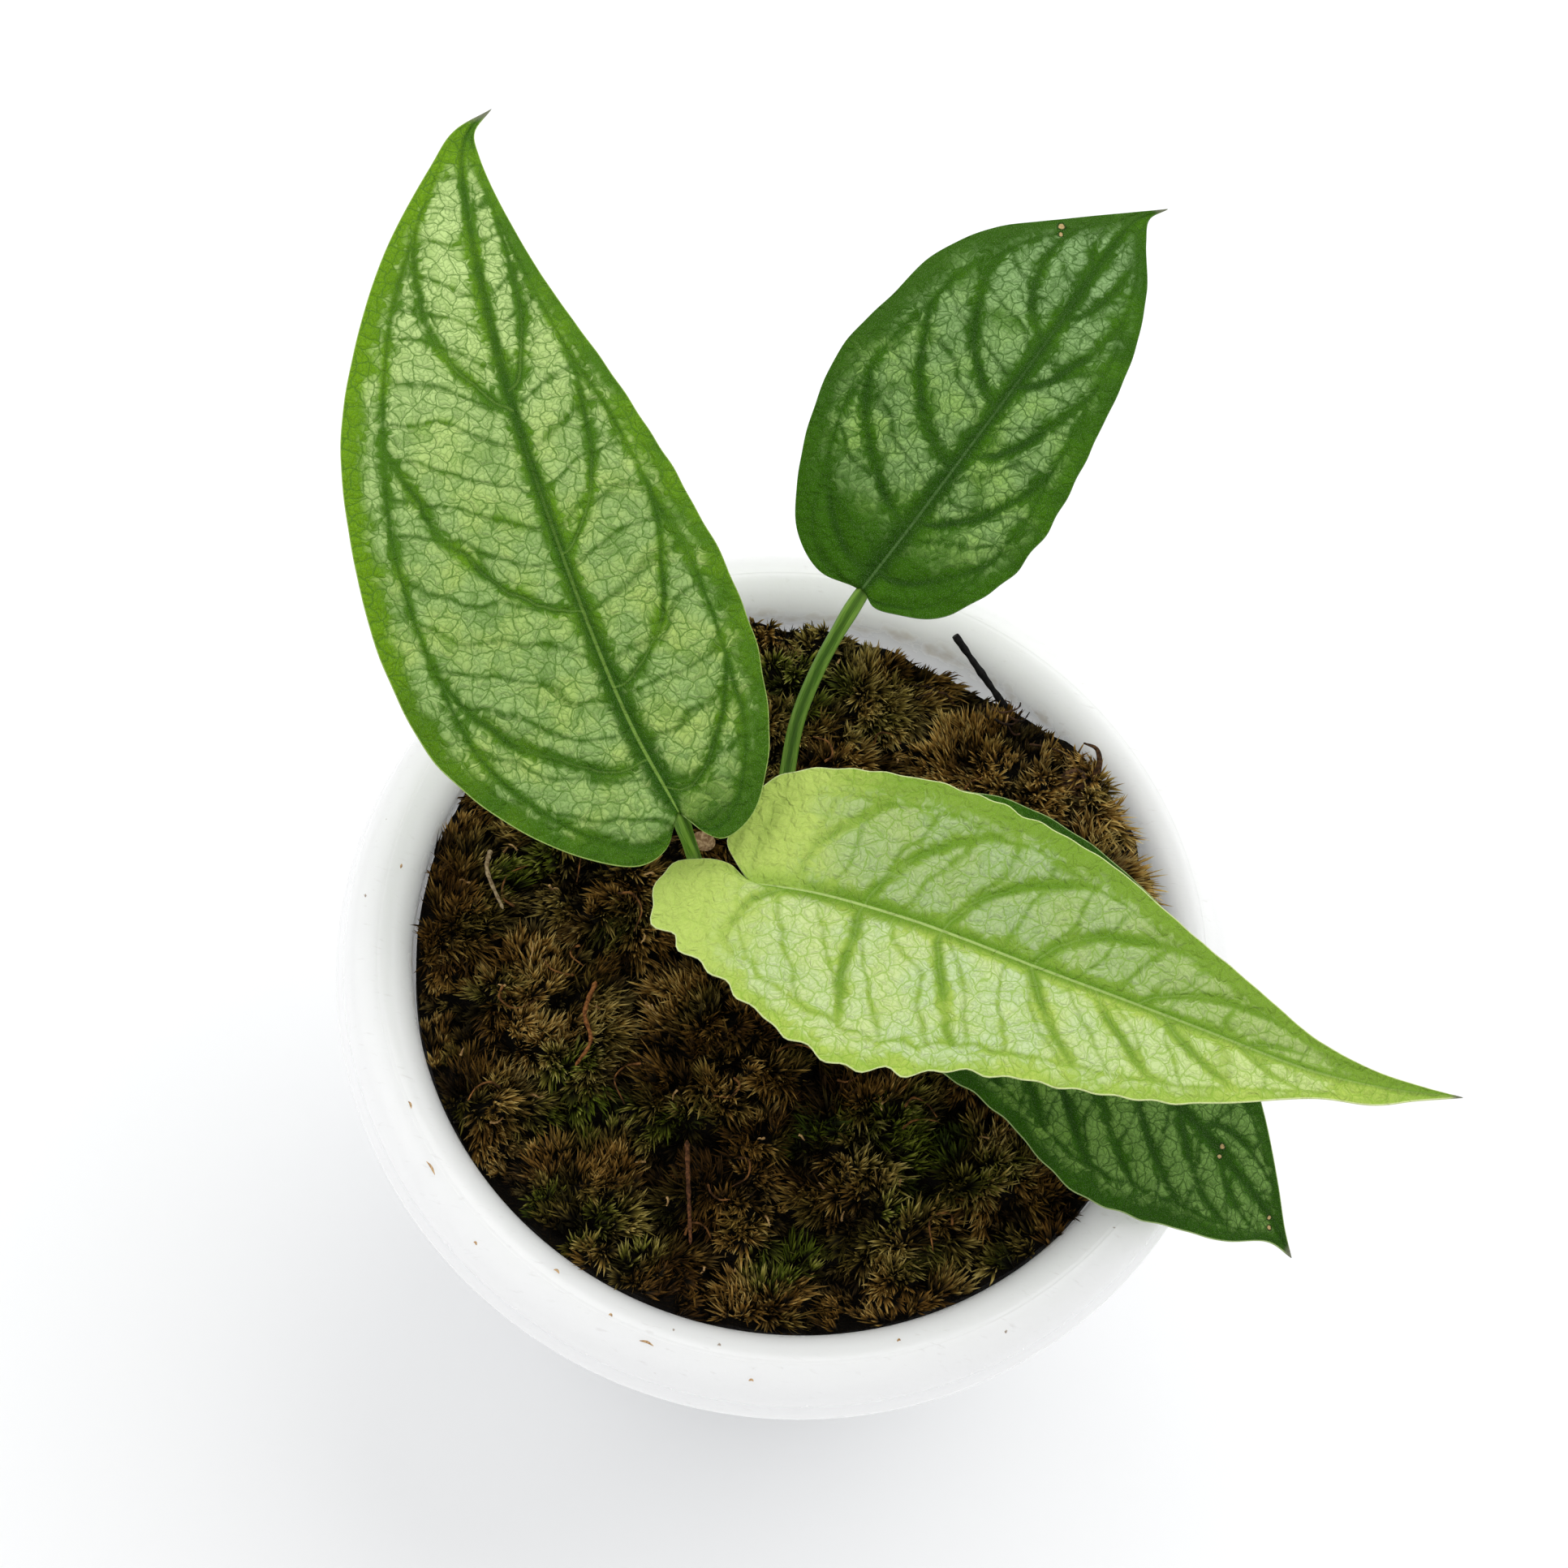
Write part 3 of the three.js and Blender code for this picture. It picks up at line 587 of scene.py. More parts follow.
def blade_height(leaf, x, y):
    share = x / leaf["length"]
    bow = leaf["arch"] * np.sin(np.pi * np.clip(share, -0.5, 1))
    hang = leaf["droop"] * np.maximum(share, 0) ** 2
    return bow - hang + leaf["fold"] * np.hypot(y - midrib_offset(leaf, x), 2)


def vein_phase(veins, climb, u, v):
    """A count that is a whole number along each strong side vein. u is 0 at the foot of the blade and 1 at
    its tip, v is 0 at the midrib and 1 at the margin, and a vein climbs towards the tip as v grows."""
    level = u - climb[0] * v ** climb[1]
    veins = np.array(veins)
    before = veins[0] - (veins[1] - veins[0]) * np.arange(9, 0, -1)
    after = veins[-1] + (veins[-1] - veins[-2]) * np.arange(1, 4)
    known = np.concatenate([before, veins, after])
    return np.interp(level, known, np.arange(len(known)))


def half_blade(leaf, side):
    """One half of a blade: the points of its upper and lower faces, and the values its finish reads."""
    half_name = "left_" if side > 0 else "right_"
    u = np.linspace(0, 1, blade_rows + 1)[:, None]
    v = np.linspace(0, 1, blade_columns + 1)[None, :] ** 1.15
    root = smooth_line(leaf["midrib"], u[:, 0] ** 1.5)[:, None]
    rim = smooth_line(leaf[half_name + "edge"], u[:, 0])[:, None]
    turn = 2 * np.pi * leaf["waves"] * u
    bumps = np.sin(1.5 * turn) * np.sin(0.29 * turn + 0.8) + 0.7 * np.sin(2.1 * turn + 1)
    near_foot = np.sin(np.pi * u**0.5) ** 1.5
    scallop = leaf["scallop"] * near_foot * bumps
    rim = root + (rim - root) * (1 + (scallop if side < 0 else 0.3 * scallop))[..., None]
    flat = root + (rim - root) * v[..., None]
    width = np.linalg.norm(rim - root, axis=-1) + 0 * v
    phase = vein_phase(leaf[half_name + "veins"], leaf[half_name + "climb"], u, v)
    spacing = vein_spacing(flat, phase, v[0])
    x, y = flat[..., 0], flat[..., 1]
    body = 1 - u**24
    from_midrib = v * width
    rib = keel_depth * (1 - 0.75 * u) * body * np.exp(-((from_midrib / keel_width) ** 2))
    from_vein = np.abs(phase - np.round(phase)) * spacing
    groove = 2 * np.exp(-((from_vein / vein_groove_width) ** 2))
    puff = quilt_depth * body * (1 - groove) * 4 * v * (1 - v)
    fade = v**4 * near_foot * (1 if side < 0 else 0.4)
    uneven = 0.55 + 0.45 * np.sin(0.37 * turn + 2 * side)
    ripple = leaf["wave"] * fade * uneven * (np.sin(turn + side) + 0.5 * np.sin(2.3 * turn + 1))
    middle = blade_height(leaf, x, y) + puff + ripple
    half = blade_thickness / 2 * (1 - 0.45 * np.maximum(v**12, u**60))
    upper = np.dstack([flat, middle + half + leaf["ridge"] * rib])
    lower = np.dstack([flat, middle - half - rib])
    values = {
        "flat": flat,
        "vein": np.dstack([phase, side * v + 0 * u]),
        "size": np.dstack([spacing, width]),
    }
    return upper, lower, values


def vein_spacing(flat, phase, v):
    """Millimetres of blade to one count of the phase, at each point of the grid."""
    along_u, along_v = np.gradient(flat, axis=0), np.gradient(flat, axis=1)
    phase_u, phase_v = np.gradient(phase, axis=0), np.gradient(phase, axis=1)
    turn = along_u[..., 0] * along_v[..., 1] - along_u[..., 1] * along_v[..., 0]
    turn = np.where(np.abs(turn) < 1e-4, 1e-4, turn)
    slope_x = (phase_u * along_v[..., 1] - phase_v * along_u[..., 1]) / turn
    slope_y = (phase_v * along_u[..., 0] - phase_u * along_v[..., 0]) / turn
    return np.clip(1 / np.maximum(np.hypot(slope_x, slope_y), 0.02), 0.5, 25)


def blade_piece(name, leaf, slot, finishes):
    """A whole blade: both halves, each with an upper and a lower face and a wall along its edge."""
    rows, columns = blade_rows + 1, blade_columns + 1
    points, faces, values = [], [], {"flat": [], "vein": [], "size": []}
    for side in (1, -1):
        upper, lower, half_values = half_blade(leaf, side)
        first = sum(len(block) for block in points)
        points += [placed(leaf, upper.reshape(-1, 3)), placed(leaf, lower.reshape(-1, 3))]
        for key, value in half_values.items():
            values[key] += [value.reshape(-1, 2)] * 2
        grid = grid_faces(rows, columns, first)
        rim = first + np.arange(rows) * columns + columns - 1
        notch = first + np.arange(columns)
        outline = np.concatenate([notch, rim[1:]])
        under = outline + rows * columns
        wall = np.stack([outline[:-1], outline[1:], under[1:], under[:-1]], axis=-1)
        top, bottom = grid[:, ::-1], grid + rows * columns
        if side < 0:
            top, bottom, wall = top[:, ::-1], bottom[:, ::-1], wall[:, ::-1]
        faces += [top, bottom, wall]
    under_only = np.repeat([0, 1, 0] * 2, [len(block) for block in faces])
    maps = {key: np.vstack(blocks) for key, blocks in values.items()}
    replaced = ["leaf_" + name]
    new_piece("blade_" + name, np.vstack(points), faces, finishes, slot, replaced, maps, 60, under_only)


weak_pitch = 7
collecting_vein = 0.79


def blade_finish(name, tone):
    """Living leaf skin. Pale panels lie between the strong veins and end at whole meshes of a net of finer
    ones, and a plain green band follows the margin. The map flat gives the place on the blade laid flat. The
    map vein gives the count of strong veins and the share of the way to the margin. The map size gives how
    many millimetres one count takes up there, and how wide that half of the blade is."""
    material, start = new_finish(name)
    flat = start.mapped("flat")
    vein = start.mapped("vein")
    size = start.mapped("size")
    spacing, width = size.part("X"), size.part("Y")
    across = abs(vein.part("Y"))
    left_half = vein.part("Y").rise(-0.02, 0.02)
    from_foot = flat.part("X")
    from_midrib = across * width
    from_edge = (1 - across) * width
    wide = 0.5 + 0.5 * width.rise(3, 17)
    phase = vein.part("X") + 0.16 * (flat.noise(0.1, 1) - 0.5) + 0.04 * (flat.noise(0.4, 1) - 0.5)
    outer = across.rise(collecting_vein - 0.01, collecting_vein + 0.03)
    from_strong = abs((phase + 0.5).fraction() - 0.5) * spacing / wide + 2 * outer
    from_strong = from_strong + 2 * from_foot.rise(tone["plain_tip"] - 6, tone["plain_tip"] + 6)
    scallop = (phase * (2 * math.pi)).cosine()
    from_collecting = abs(across + 0.012 * scallop - collecting_vein) * width / wide
    from_side = from_strong.least(from_collecting + tone["faint_collecting"])
    weak_phase = (from_foot - 0.4 * from_midrib) / weak_pitch + 1.6 * (flat.noise(0.06, 2) - 0.5)
    from_weak = abs(weak_phase.fraction() - 0.5) * weak_pitch + 1.5 * outer

    crooked = flat.warped(0.3, 2.4).warped(1.1, 0.7)
    middle = crooked.cells(tone["mesh"], "DISTANCE_TO_EDGE") * tone["mesh"]
    fine = crooked.cells(tone["fine_mesh"], "DISTANCE_TO_EDGE") * tone["fine_mesh"]
    own = crooked.cells(tone["mesh"], "F1", "Color").part("X") - 0.5
    own_fine = crooked.cells(tone["fine_mesh"], "F1", "Color").part("X") - 0.5
    patchy = flat.noise(0.16, 3)
    ragged = own * 0.8 + own_fine + (patchy - 0.5) * 1.8

    halo = tone["halo"]
    panel = (from_side + 0.8 * ragged).rise(halo * 0.5, halo + 0.9)
    panel = panel * (from_weak + 0.6 * ragged).rise(-0.5, 0.9)
    panel = panel * (from_midrib / wide + ragged).rise(halo + 0.5, halo + 2)
    from_band = from_edge / wide + 1.4 * ragged - tone["left_band"] * left_half
    panel = panel * from_band.rise(tone["band"], tone["band"] + tone["band_fade"])
    lobe_start = from_foot + 3 * ragged + tone["lobe_shift"] * left_half
    lobe = lobe_start.rise(tone["lobe"], tone["lobe"] + tone["lobe_fade"])
    panel = panel * lobe * (from_foot + 6 * ragged).rise(tone["plain_tip"] + 8, tone["plain_tip"])
    panel = panel * (1 - patchy.rise(0.5, 0.3) * tone["gaps"])

    net = middle.rise(0.21, 0.05).most(fine.rise(0.15, 0.02) * 0.55) * (0.25 + 0.75 * lobe)
    midrib_reach = 1.7 + 2 * from_foot.rise(45, 5)
    vein_dark = 0.45 + 0.55 * flat.noise(0.09, 2).rise(0.36, 0.56)
    shade = from_side.rise(tone["shade_reach"], 0) * across.rise(1.6, 0.3) * vein_dark
    shade = shade.most((from_midrib / wide).rise(midrib_reach, 0.2)).most(from_weak.rise(0.9, 0) * 0.4)
    shade = shade * (0.3 + 0.7 * lobe.most(tone["lobe_shade"]))
    # Towards the tip the dark of the veins is painted lighter: painted light on the far part of the blade.
    shade = shade * (1 - 0.4 * from_foot.rise(0.4 * tone["length"], 0.9 * tone["length"]))
    warm = flat.noise(0.11, 2).rise(0.4, 0.68)
    speckle = flat.noise(7, 2)

    green = warm.tint(tone["green"], tone["green_warm"])
    left_margin = from_edge.rise(tone["left_reach"], 1) * left_half * from_foot.rise(2, 40)
    green = (left_margin * 0.8).tint(green, tone["left_margin"])
    green = ((1 - lobe) * from_midrib.rise(1, 5)).tint(green, tone["lobe_green"])
    green = (from_foot.rise(46, -4) * tone["dark_foot"]).tint(green, tone["deep"])
    warmth = warm * 0.8 + 0.35 * own + 0.3 * own_fine + tone["warm_foot"] * from_foot.rise(38, 8)
    silver = warmth.tint(tone["silver"], tone["silver_warm"])
    # The far part of each blade is painted paler: painted light, and on the dark leaves a painted sheen.
    silver = from_foot.rise(0.3 * tone["length"], 0.8 * tone["length"]).tint(silver, tone["painted_light_far_silver"])
    silver = ((own + own_fine).rise(0.1, -0.7) * 0.3).tint(silver, green)
    colour = (panel * tone["cover"]).tint(green, silver)
    colour = (net * tone["net_strength"]).tint(colour, tone["net"])
    colour = (shade * tone["shade_strength"]).tint(colour, tone["deep"])
    colour = (left_half * lobe * tone["left_shade"]).tint(colour, tone["deep"])
    thread = from_strong.rise(0.25, 0.06) * across.rise(0.75, 0.1)
    colour = (thread * tone["line"]).tint(colour, tone["midrib"])
    rib = from_midrib.rise(tone["rib_width"] + 0.12, tone["rib_width"] - 0.1)
    colour = (rib * from_foot.rise(tone["rib_reach"], 0)).tint(colour, tone["midrib"])
    # Pale margin line: partly the margin's own paler tissue, partly a painted highlight on its rounded edge.
    colour = from_edge.rise(tone["edge_width"], tone["edge_width"] * 0.4).tint(colour, tone["edge"])
    for scar_x, scar_y, radius in tone["scars"]:
        off_x = from_foot + 0.8 * (flat.noise(1.2, 2) - 0.5) - scar_x
        off_y = flat.part("Y") - scar_y
        from_scar = (off_x * off_x + off_y * off_y) ** 0.5
        colour = from_scar.rise(radius * 1.7, radius).tint(colour, tone["deep"])
        colour = from_scar.rise(radius, radius * 0.6).tint(colour, paint(182, 158, 108))
    colour = from_foot.rise(tone["length"] - 2.4, tone["length"] - 0.8).tint(colour, paint(116, 120, 98))
    colour = (speckle.rise(0.52, 0.72) * 0.1).tint(colour, paint(236, 246, 214))
    colour = (speckle.rise(0.46, 0.28) * 0.16).tint(colour, tone["deep"])

    swelling = middle.rise(0, 1.1) * 0.6 + fine.rise(0, 0.45) * 0.25 + speckle * 0.15
    roughness = 0.5 + 0.1 * patchy - 0.06 * panel
    sockets = {"Base Color": colour, "Roughness": roughness, "Specular IOR Level": 0.04}
    dress(material, sockets, swelling, 0.45)
    return material


# The colours and sizes that set the skins of the leaves apart. The halo is the dark width beside a vein and
# the band the plain green width along the margin. The panels start at lobe and end at plain_tip. A scar is
# its place and its radius. Lengths are in millimetres, and cover, gaps, line, the feet, shades and strengths
# are shares from 0 to 1.
silver_leaf = {
    "silver": paint(150, 181, 108), "silver_warm": paint(168, 194, 104),
    "painted_light_far_silver": paint(190, 216, 138),
    "green": paint(68, 112, 14), "green_warm": paint(96, 140, 18),
    "lobe_green": paint(62, 104, 12), "left_margin": paint(108, 152, 12),
    "net": paint(68, 108, 22), "deep": paint(30, 70, 0),
    "midrib": paint(112, 146, 60), "edge": paint(150, 176, 92),
    "length": leaves["left"]["length"],
    "mesh": 2.5, "fine_mesh": 0.95, "halo": 0.9, "cover": 0.95, "gaps": 0.3, "plain_tip": 106,
    "band": 2.2, "band_fade": 2.8, "left_band": 0, "left_reach": 6, "left_shade": 0,
    "lobe": -5, "lobe_fade": 15, "lobe_shift": 7, "lobe_shade": 1, "warm_foot": 0, "dark_foot": 0.4,
    "net_strength": 0.75, "shade_strength": 0.84, "shade_reach": 0.8, "line": 0.4, "faint_collecting": 0.1,
    "rib_width": 0.24, "rib_reach": 70, "edge_width": 0.18, "scars": [],
}
dark_leaf = {
    **silver_leaf,
    "silver": paint(136, 170, 102), "silver_warm": paint(146, 182, 92),
    "painted_light_far_silver": paint(138, 172, 112),
    "green": paint(44, 86, 0), "green_warm": paint(60, 106, 0),
    "lobe_green": paint(50, 94, 0), "left_margin": paint(54, 92, 16),
    "net": paint(44, 84, 4), "deep": paint(24, 60, 0),
    "midrib": paint(70, 102, 48), "edge": paint(84, 116, 60),
    "length": leaves["back"]["length"],
    "mesh": 2.1, "fine_mesh": 0.85, "halo": 1.1, "cover": 0.88, "gaps": 0.8,
    "plain_tip": 70, "band": 1.4, "band_fade": 6, "lobe": 7, "lobe_fade": 12, "lobe_shift": 0,
    "dark_foot": 0, "shade_strength": 0.78, "shade_reach": 1.15, "line": 0.1, "faint_collecting": 0.4,
    "rib_width": 0.2, "edge_width": 0.12, "scars": [[67.3, 10.4, 0.6], [66, 9.6, 0.4]],
}
young_leaf = {
    **silver_leaf,
    "silver": paint(192, 211, 163), "silver_warm": paint(198, 214, 148),
    "painted_light_far_silver": paint(198, 216, 140),
    "green": paint(158, 186, 80), "green_warm": paint(172, 196, 86),
    "lobe_green": paint(180, 202, 100), "left_margin": paint(124, 158, 54),
    "net": paint(132, 168, 52), "deep": paint(78, 122, 8),
    "midrib": paint(166, 190, 110), "edge": paint(204, 216, 152),
    "length": leaves["newest"]["length"],
    "cover": 0.92, "gaps": 0.1, "plain_tip": 90, "band": 1, "band_fade": 2.6,
    "left_band": 1.6, "left_reach": 60, "left_shade": 0.34, "lobe": -6, "lobe_fade": 13,
    "lobe_shift": -10, "lobe_shade": 0, "warm_foot": 0.5, "dark_foot": 0, "net_strength": 0.68,
    "shade_strength": 0.76, "shade_reach": 1.5, "line": 0.2, "faint_collecting": 0.6, "rib_width": 0.2,
    "rib_reach": 150, "edge_width": 0.22,
}
low_leaf = {
    **dark_leaf,
    "silver": paint(108, 144, 66), "silver_warm": paint(112, 150, 56),
    "painted_light_far_silver": paint(112, 148, 72),
    "green": paint(38, 78, 0), "green_warm": paint(46, 90, 0),
    "left_margin": paint(40, 80, 0),
    "net": paint(32, 68, 0), "deep": paint(18, 50, 0),
    "edge": paint(150, 172, 110),
    "length": leaves["low"]["length"],
    "halo": 0.7, "gaps": 0.3, "plain_tip": 84, "band": 1.8, "band_fade": 3,
    "shade_reach": 1, "edge_width": 0.2,
    "scars": [[70.8, 5.4, 0.45], [71.4, 3.9, 0.4], [84.6, 2.2, 0.4], [85.6, 1, 0.4]],
}
pale_under = {
    **young_leaf,
    "silver": paint(168, 190, 134), "silver_warm": paint(170, 192, 128),
    "green": paint(146, 174, 104), "green_warm": paint(152, 178, 100),
    "lobe_green": paint(160, 186, 112),
    "net": paint(126, 156, 84), "deep": paint(120, 150, 78),
}
under_finish = blade_finish("leaf_underside", pale_under)
for name, slot, tone in (
    ("left", "leaf_silver", silver_leaf),
    ("back", "leaf_dark", dark_leaf),
    ("newest", "leaf_young", young_leaf),
    ("low", "leaf_dark", low_leaf),
):
    blade_piece(name, leaves[name], slot, [blade_finish("leaf_skin_" + name, tone), under_finish])

# The moss is living and half dry cushion moss laid over the soil: a matted base, its brown painted down to
# near black as shade among the tufts, and out of it tufts of narrow curved leaves, brown-olive with tan tips
# and greener in places. Each quarter of them is one piece.

moss_radius = 61.9
soil_top = 101
moss_edge_height = pot_height - 4
moss_dome = 4.5
# A bump is its place, its height and its spread.
moss_bumps = [[12, 60, -8, 17], [54, 22, 2.2, 15], [26, 51, 4, 8], [46, 38, 8.5, 9]]
cushion_spacing = 19
crease_width = 1.1
cushion_relief = 2.4
sprig_spacing = 1.95
strands_to_a_sprig = 23
strand_shares = [0, 0.4, 0.75, 1]
strand_half_widths = [0.11, 0.19, 0.15, 0]
# A patch is its place and its reach.
green_patches = [[-11, 54, 13], [33, -27, 15], [-24, -34, 8], [-20, -50, 10], [-46, 2, 8], [14, -50, 8]]
# These patches are painted shade: the moss is painted darker where it lies in shadow.
painted_shade_patches = [[-6, -37, 13], [-40, 14, 6], [6, -14, 12]]
light_patches = [[-2, 54, 15], [14, 44, 14], [28, 42, 13], [44, 34, 9], [-34, -24, 9]]
dry_patches = [[45, 38, 8], [53, 27, 9]]


def moss_level(x, y):
    level = moss_edge_height + moss_dome * (1 - (np.hypot(x, y) / moss_radius) ** 2)
    for bump_x, bump_y, height, spread in moss_bumps:
        level = level + height * np.exp(-((x - bump_x) ** 2 + (y - bump_y) ** 2) / (2 * spread**2))
    return np.minimum(level, moss_edge_height + 2.4 + 0.9 * (moss_radius - np.hypot(x, y)))


def waves(x, y, size, seed):
    """A smooth uneven field from about -1 to 1, with humps of about that size."""
    draw = np.random.default_rng(seed)
    total = 0 * x
    for _ in range(7):
        angle, shift = draw.random(2) * 2 * np.pi
        pitch = 2 * np.pi / (size * (1.2 + 1.6 * draw.random()))
        total = total + np.sin(pitch * (x * np.cos(angle) + y * np.sin(angle)) + shift)
    return total / 3.2


def shifted_grid(spacing, reach, shift, seed):
    """Places on a triangular grid round the axis, each shifted by a random part of the spacing."""
    draw = np.random.default_rng(seed)
    count = int(reach / spacing * 1.2) + 1
    steps = np.arange(-count, count + 1)
    row, column = np.meshgrid(steps, steps, indexing="ij")
    places = np.stack([column + 0.5 * (row % 2), row * 0.866], axis=-1).reshape(-1, 2) * spacing
    places += (draw.random(places.shape) - 0.5) * spacing * shift
    return places[np.hypot(places[:, 0], places[:, 1]) < reach]


cushion_centres = shifted_grid(cushion_spacing, moss_radius + 8, 1.3, 14)


def cushion(x, y):
    """The number of the moss cushion at each place, the way there from its centre, and how far it stands up,
    from 0 in the creases between cushions to 1."""
    bent = np.stack([x + 3 * waves(x, y, 9, 31), y + 3 * waves(x, y, 9, 32)], axis=-1)
    way = bent[..., None, :] - cushion_centres
    distance = np.hypot(way[..., 0], way[..., 1])
    nearest = np.argsort(distance, axis=-1)[..., :2]
    first, second = np.moveaxis(np.take_along_axis(distance, nearest, axis=-1), -1, 0)
    outward = np.take_along_axis(way, nearest[..., :1, None], axis=-2)[..., 0, :]
    stand = 1 - np.exp(-(((second - first) / (2 * crease_width)) ** 2))
    return nearest[..., 0], outward, stand * (1 - 0.25 * (first / cushion_spacing) ** 2)


def moss_top(x, y):
    level = moss_level(x, y) + cushion_relief * (cushion(x, y)[2] - 0.8)
    return level + 0.7 * waves(x, y, 8, 5) + 0.9 * waves(x, y, 4.5, 6)


def moss_finish():
    """Strands of moss. The map strand gives the share of the strand's length and a value of its own, and the
    map cushion gives how green its cushion is and how high the strand stands in it."""
    material, start = new_finish("cushion_moss")
    strand = start.mapped("strand")
    up, own = strand.part("X"), strand.part("Y")
    bed = start.mapped("cushion")
    greenness, stand = bed.part("X"), bed.part("Y")
    brown = own.tint(paint(70, 45, 8), paint(178, 132, 54))
    olive = own.tint(paint(58, 48, 5), paint(164, 140, 62))
    green = own.tint(paint(46, 60, 0), paint(132, 144, 28))
    skin = greenness.rise(0.15, 0.5).tint(brown, olive)
    skin = greenness.rise(0.5, 0.85).tint(skin, green)
    tip = own.rise(0.3, 1.1).tint(skin, paint(202, 184, 118))
    # The near-black foot colour is partly the strands' own dark old stems and partly painted shade deep in
    # the tufts.
    root = paint(10, 7, 1)
    colour = up.rise(0.25, 0.95).tint(root, skin)
    colour = (up.rise(0.6, 1.0) * 0.8).tint(colour, tip)
    # Strands that stand low in the creases between cushions are painted near black: painted shade.
    colour = (stand.rise(0.95, 0.25) * 0.85).tint(colour, root)
    dress(material, {"Base Color": colour, "Roughness": 0.75, "Specular IOR Level": 0.15})
    return material


def clear_of_pot(points):
    """Points moved in towards the pot's axis where they would lie in its wall or its rolled rim."""
    from_axis = np.hypot(points[..., 0], points[..., 1])
    roll_height = pot_height - roll_radius
    over = np.clip(points[..., 2] - roll_height, 0, roll_radius)
    inner = crown_radius - np.sqrt(roll_radius**2 - over**2) - 0.25
    inner = np.where(points[..., 2] > pot_height, 1e3, inner)
    share = np.minimum(1, inner / np.maximum(from_axis, 1e-6))
    points[..., :2] *= share[..., None]
    return points


def per_strand(values):
    return np.repeat(values, strands_to_a_sprig, axis=0)


def patches(places, spots):
    """How far each place lies in the round patches, from 0 outside them to 1 at the middle of one."""
    offsets = places[:, None] - np.array(spots, float)[:, :2]
    return np.exp(-np.sum(offsets**2, axis=2) / np.array(spots)[:, 2] ** 2).max(axis=1)


def unit(vectors):
    return vectors / np.linalg.norm(vectors, axis=-1, keepdims=True)


def sprig_strands(places, draw):
    """The strands of the sprigs at those places: both edges of each in rows of four, and their map values. A
    sprig leans out of its cushion, and its strands fan out and then all bend the same way."""
    count = len(places)
    number, outward, stand = cushion(*places.T)
    dry = patches(places, dry_patches)
    tilt = outward * 0.09 + 0.25 * draw.standard_normal((count, 2)) + 0.012 * dry[:, None] * places
    axis = unit(np.column_stack([tilt, np.ones(count)]))
    swirl = 9 * np.column_stack([waves(*places.T, 4, 41), waves(*places.T, 4, 42)])
    sideways = outward + swirl + draw.standard_normal((count, 2))
    bend = unit(np.column_stack([sideways, -0.2 * np.ones(count)]))
    length = (2.7 + 2 * draw.random(count)) * (0.55 + 0.5 * stand) * (1 + 0.4 * dry)
    tops = moss_top(*places.T) + 1.1 * draw.random(count) + dry
    foot = np.column_stack([places, tops]) - axis * length[:, None]
    cushion_tint = np.random.default_rng(4).random(len(cushion_centres))[number]
    greenness = 0.62 * patches(places, green_patches) + 0.3 * cushion_tint + 0.3 * waves(*places.T, 7, 9)
    bright = draw.random(count) - 0.12 + 0.4 * waves(*places.T, 9, 17) + 0.9 * dry
    # Strands in the shade patches are painted darker (painted shade), and strands in the light patches are
    # paler.
    bright = bright - 0.6 * patches(places, painted_shade_patches) + 0.75 * patches(places, light_patches)
    # How high a strand stands in its cushion. The finish turns this into painted shade in the creases.
    low_lying = 0.4 + 0.55 * stand + 0.45 * waves(*places.T, 4.5, 6)

    turn = 2 * np.pi * draw.random(count * strands_to_a_sprig)
    side = unit(np.cross(per_strand(axis), [1, 0, 0]))
    other = np.cross(per_strand(axis), side)
    spoke = np.cos(turn)[:, None] * side + np.sin(turn)[:, None] * other
    opening = 0.35 + 0.65 * draw.random(len(turn))
    start = unit(per_strand(axis) + opening[:, None] * spoke)
    size = per_strand(length) * (0.55 + 0.5 * draw.random(len(turn)))
    low = per_strand(foot) + per_strand(axis * length[:, None]) * (0.45 * draw.random(len(turn)))[:, None]
    share = np.array(strand_shares)[:, None]
    curve = start[:, None] * share + 0.32 * per_strand(bend)[:, None] * share**2
    line = low[:, None] + size[:, None, None] * curve
    flat_turn = unit(np.cross(start, spoke + 0.4 * draw.standard_normal(spoke.shape)))
    half = np.array(strand_half_widths) * (0.8 + 0.5 * draw.random(len(turn)))[:, None]
    left = clear_of_pot(line + flat_turn[:, None] * half[..., None])
    right = clear_of_pot(line - flat_turn[:, None] * half[..., None])
    own = 0.7 * per_strand(bright) + 0.3 * draw.random(len(turn))
    blank = 0 * half
    strand_map = np.dstack([share[:, 0] + blank, own[:, None] + blank])
    bed_map = np.dstack([per_strand(greenness)[:, None] + blank, per_strand(low_lying)[:, None] + blank])
    return left, right, {"strand": strand_map, "cushion": bed_map}


def sprig_piece(name, places, seed, finish):
    left, right, values = sprig_strands(places, np.random.default_rng(seed))
    points = np.concatenate([left, right[:, :3]], axis=1)
    strand = np.arange(len(points))[:, None] * 7
    quads = np.vstack([strand + corners for corners in ([0, 1, 5, 4], [1, 2, 6, 5])])
    tips = strand + [2, 3, 6]
    maps = {key: np.hstack([value, value[:, :3]]).reshape(-1, 2) for key, value in values.items()}
    new_piece(name, points.reshape(-1, 3), [quads, tips], [finish], "moss", maps=maps, sharp=180)


def mat_finish():
    material, start = new_finish("matted_moss_base")
    place = start.place()
    thread = place.warped(0.5, 2).scaled(1, 3, 1).noise(1.1, 5)
    # The threads run from the base's own peat brown down to near black, which is painted shade deep between
    # the tufts.
    colour = thread.rise(0.5, 0.8).tint(paint(8, 5, 1), paint(44, 32, 12))
    dress(material, {"Base Color": colour, "Roughness": 0.9, "Specular IOR Level": 0.15}, thread, 0.6)
    return material


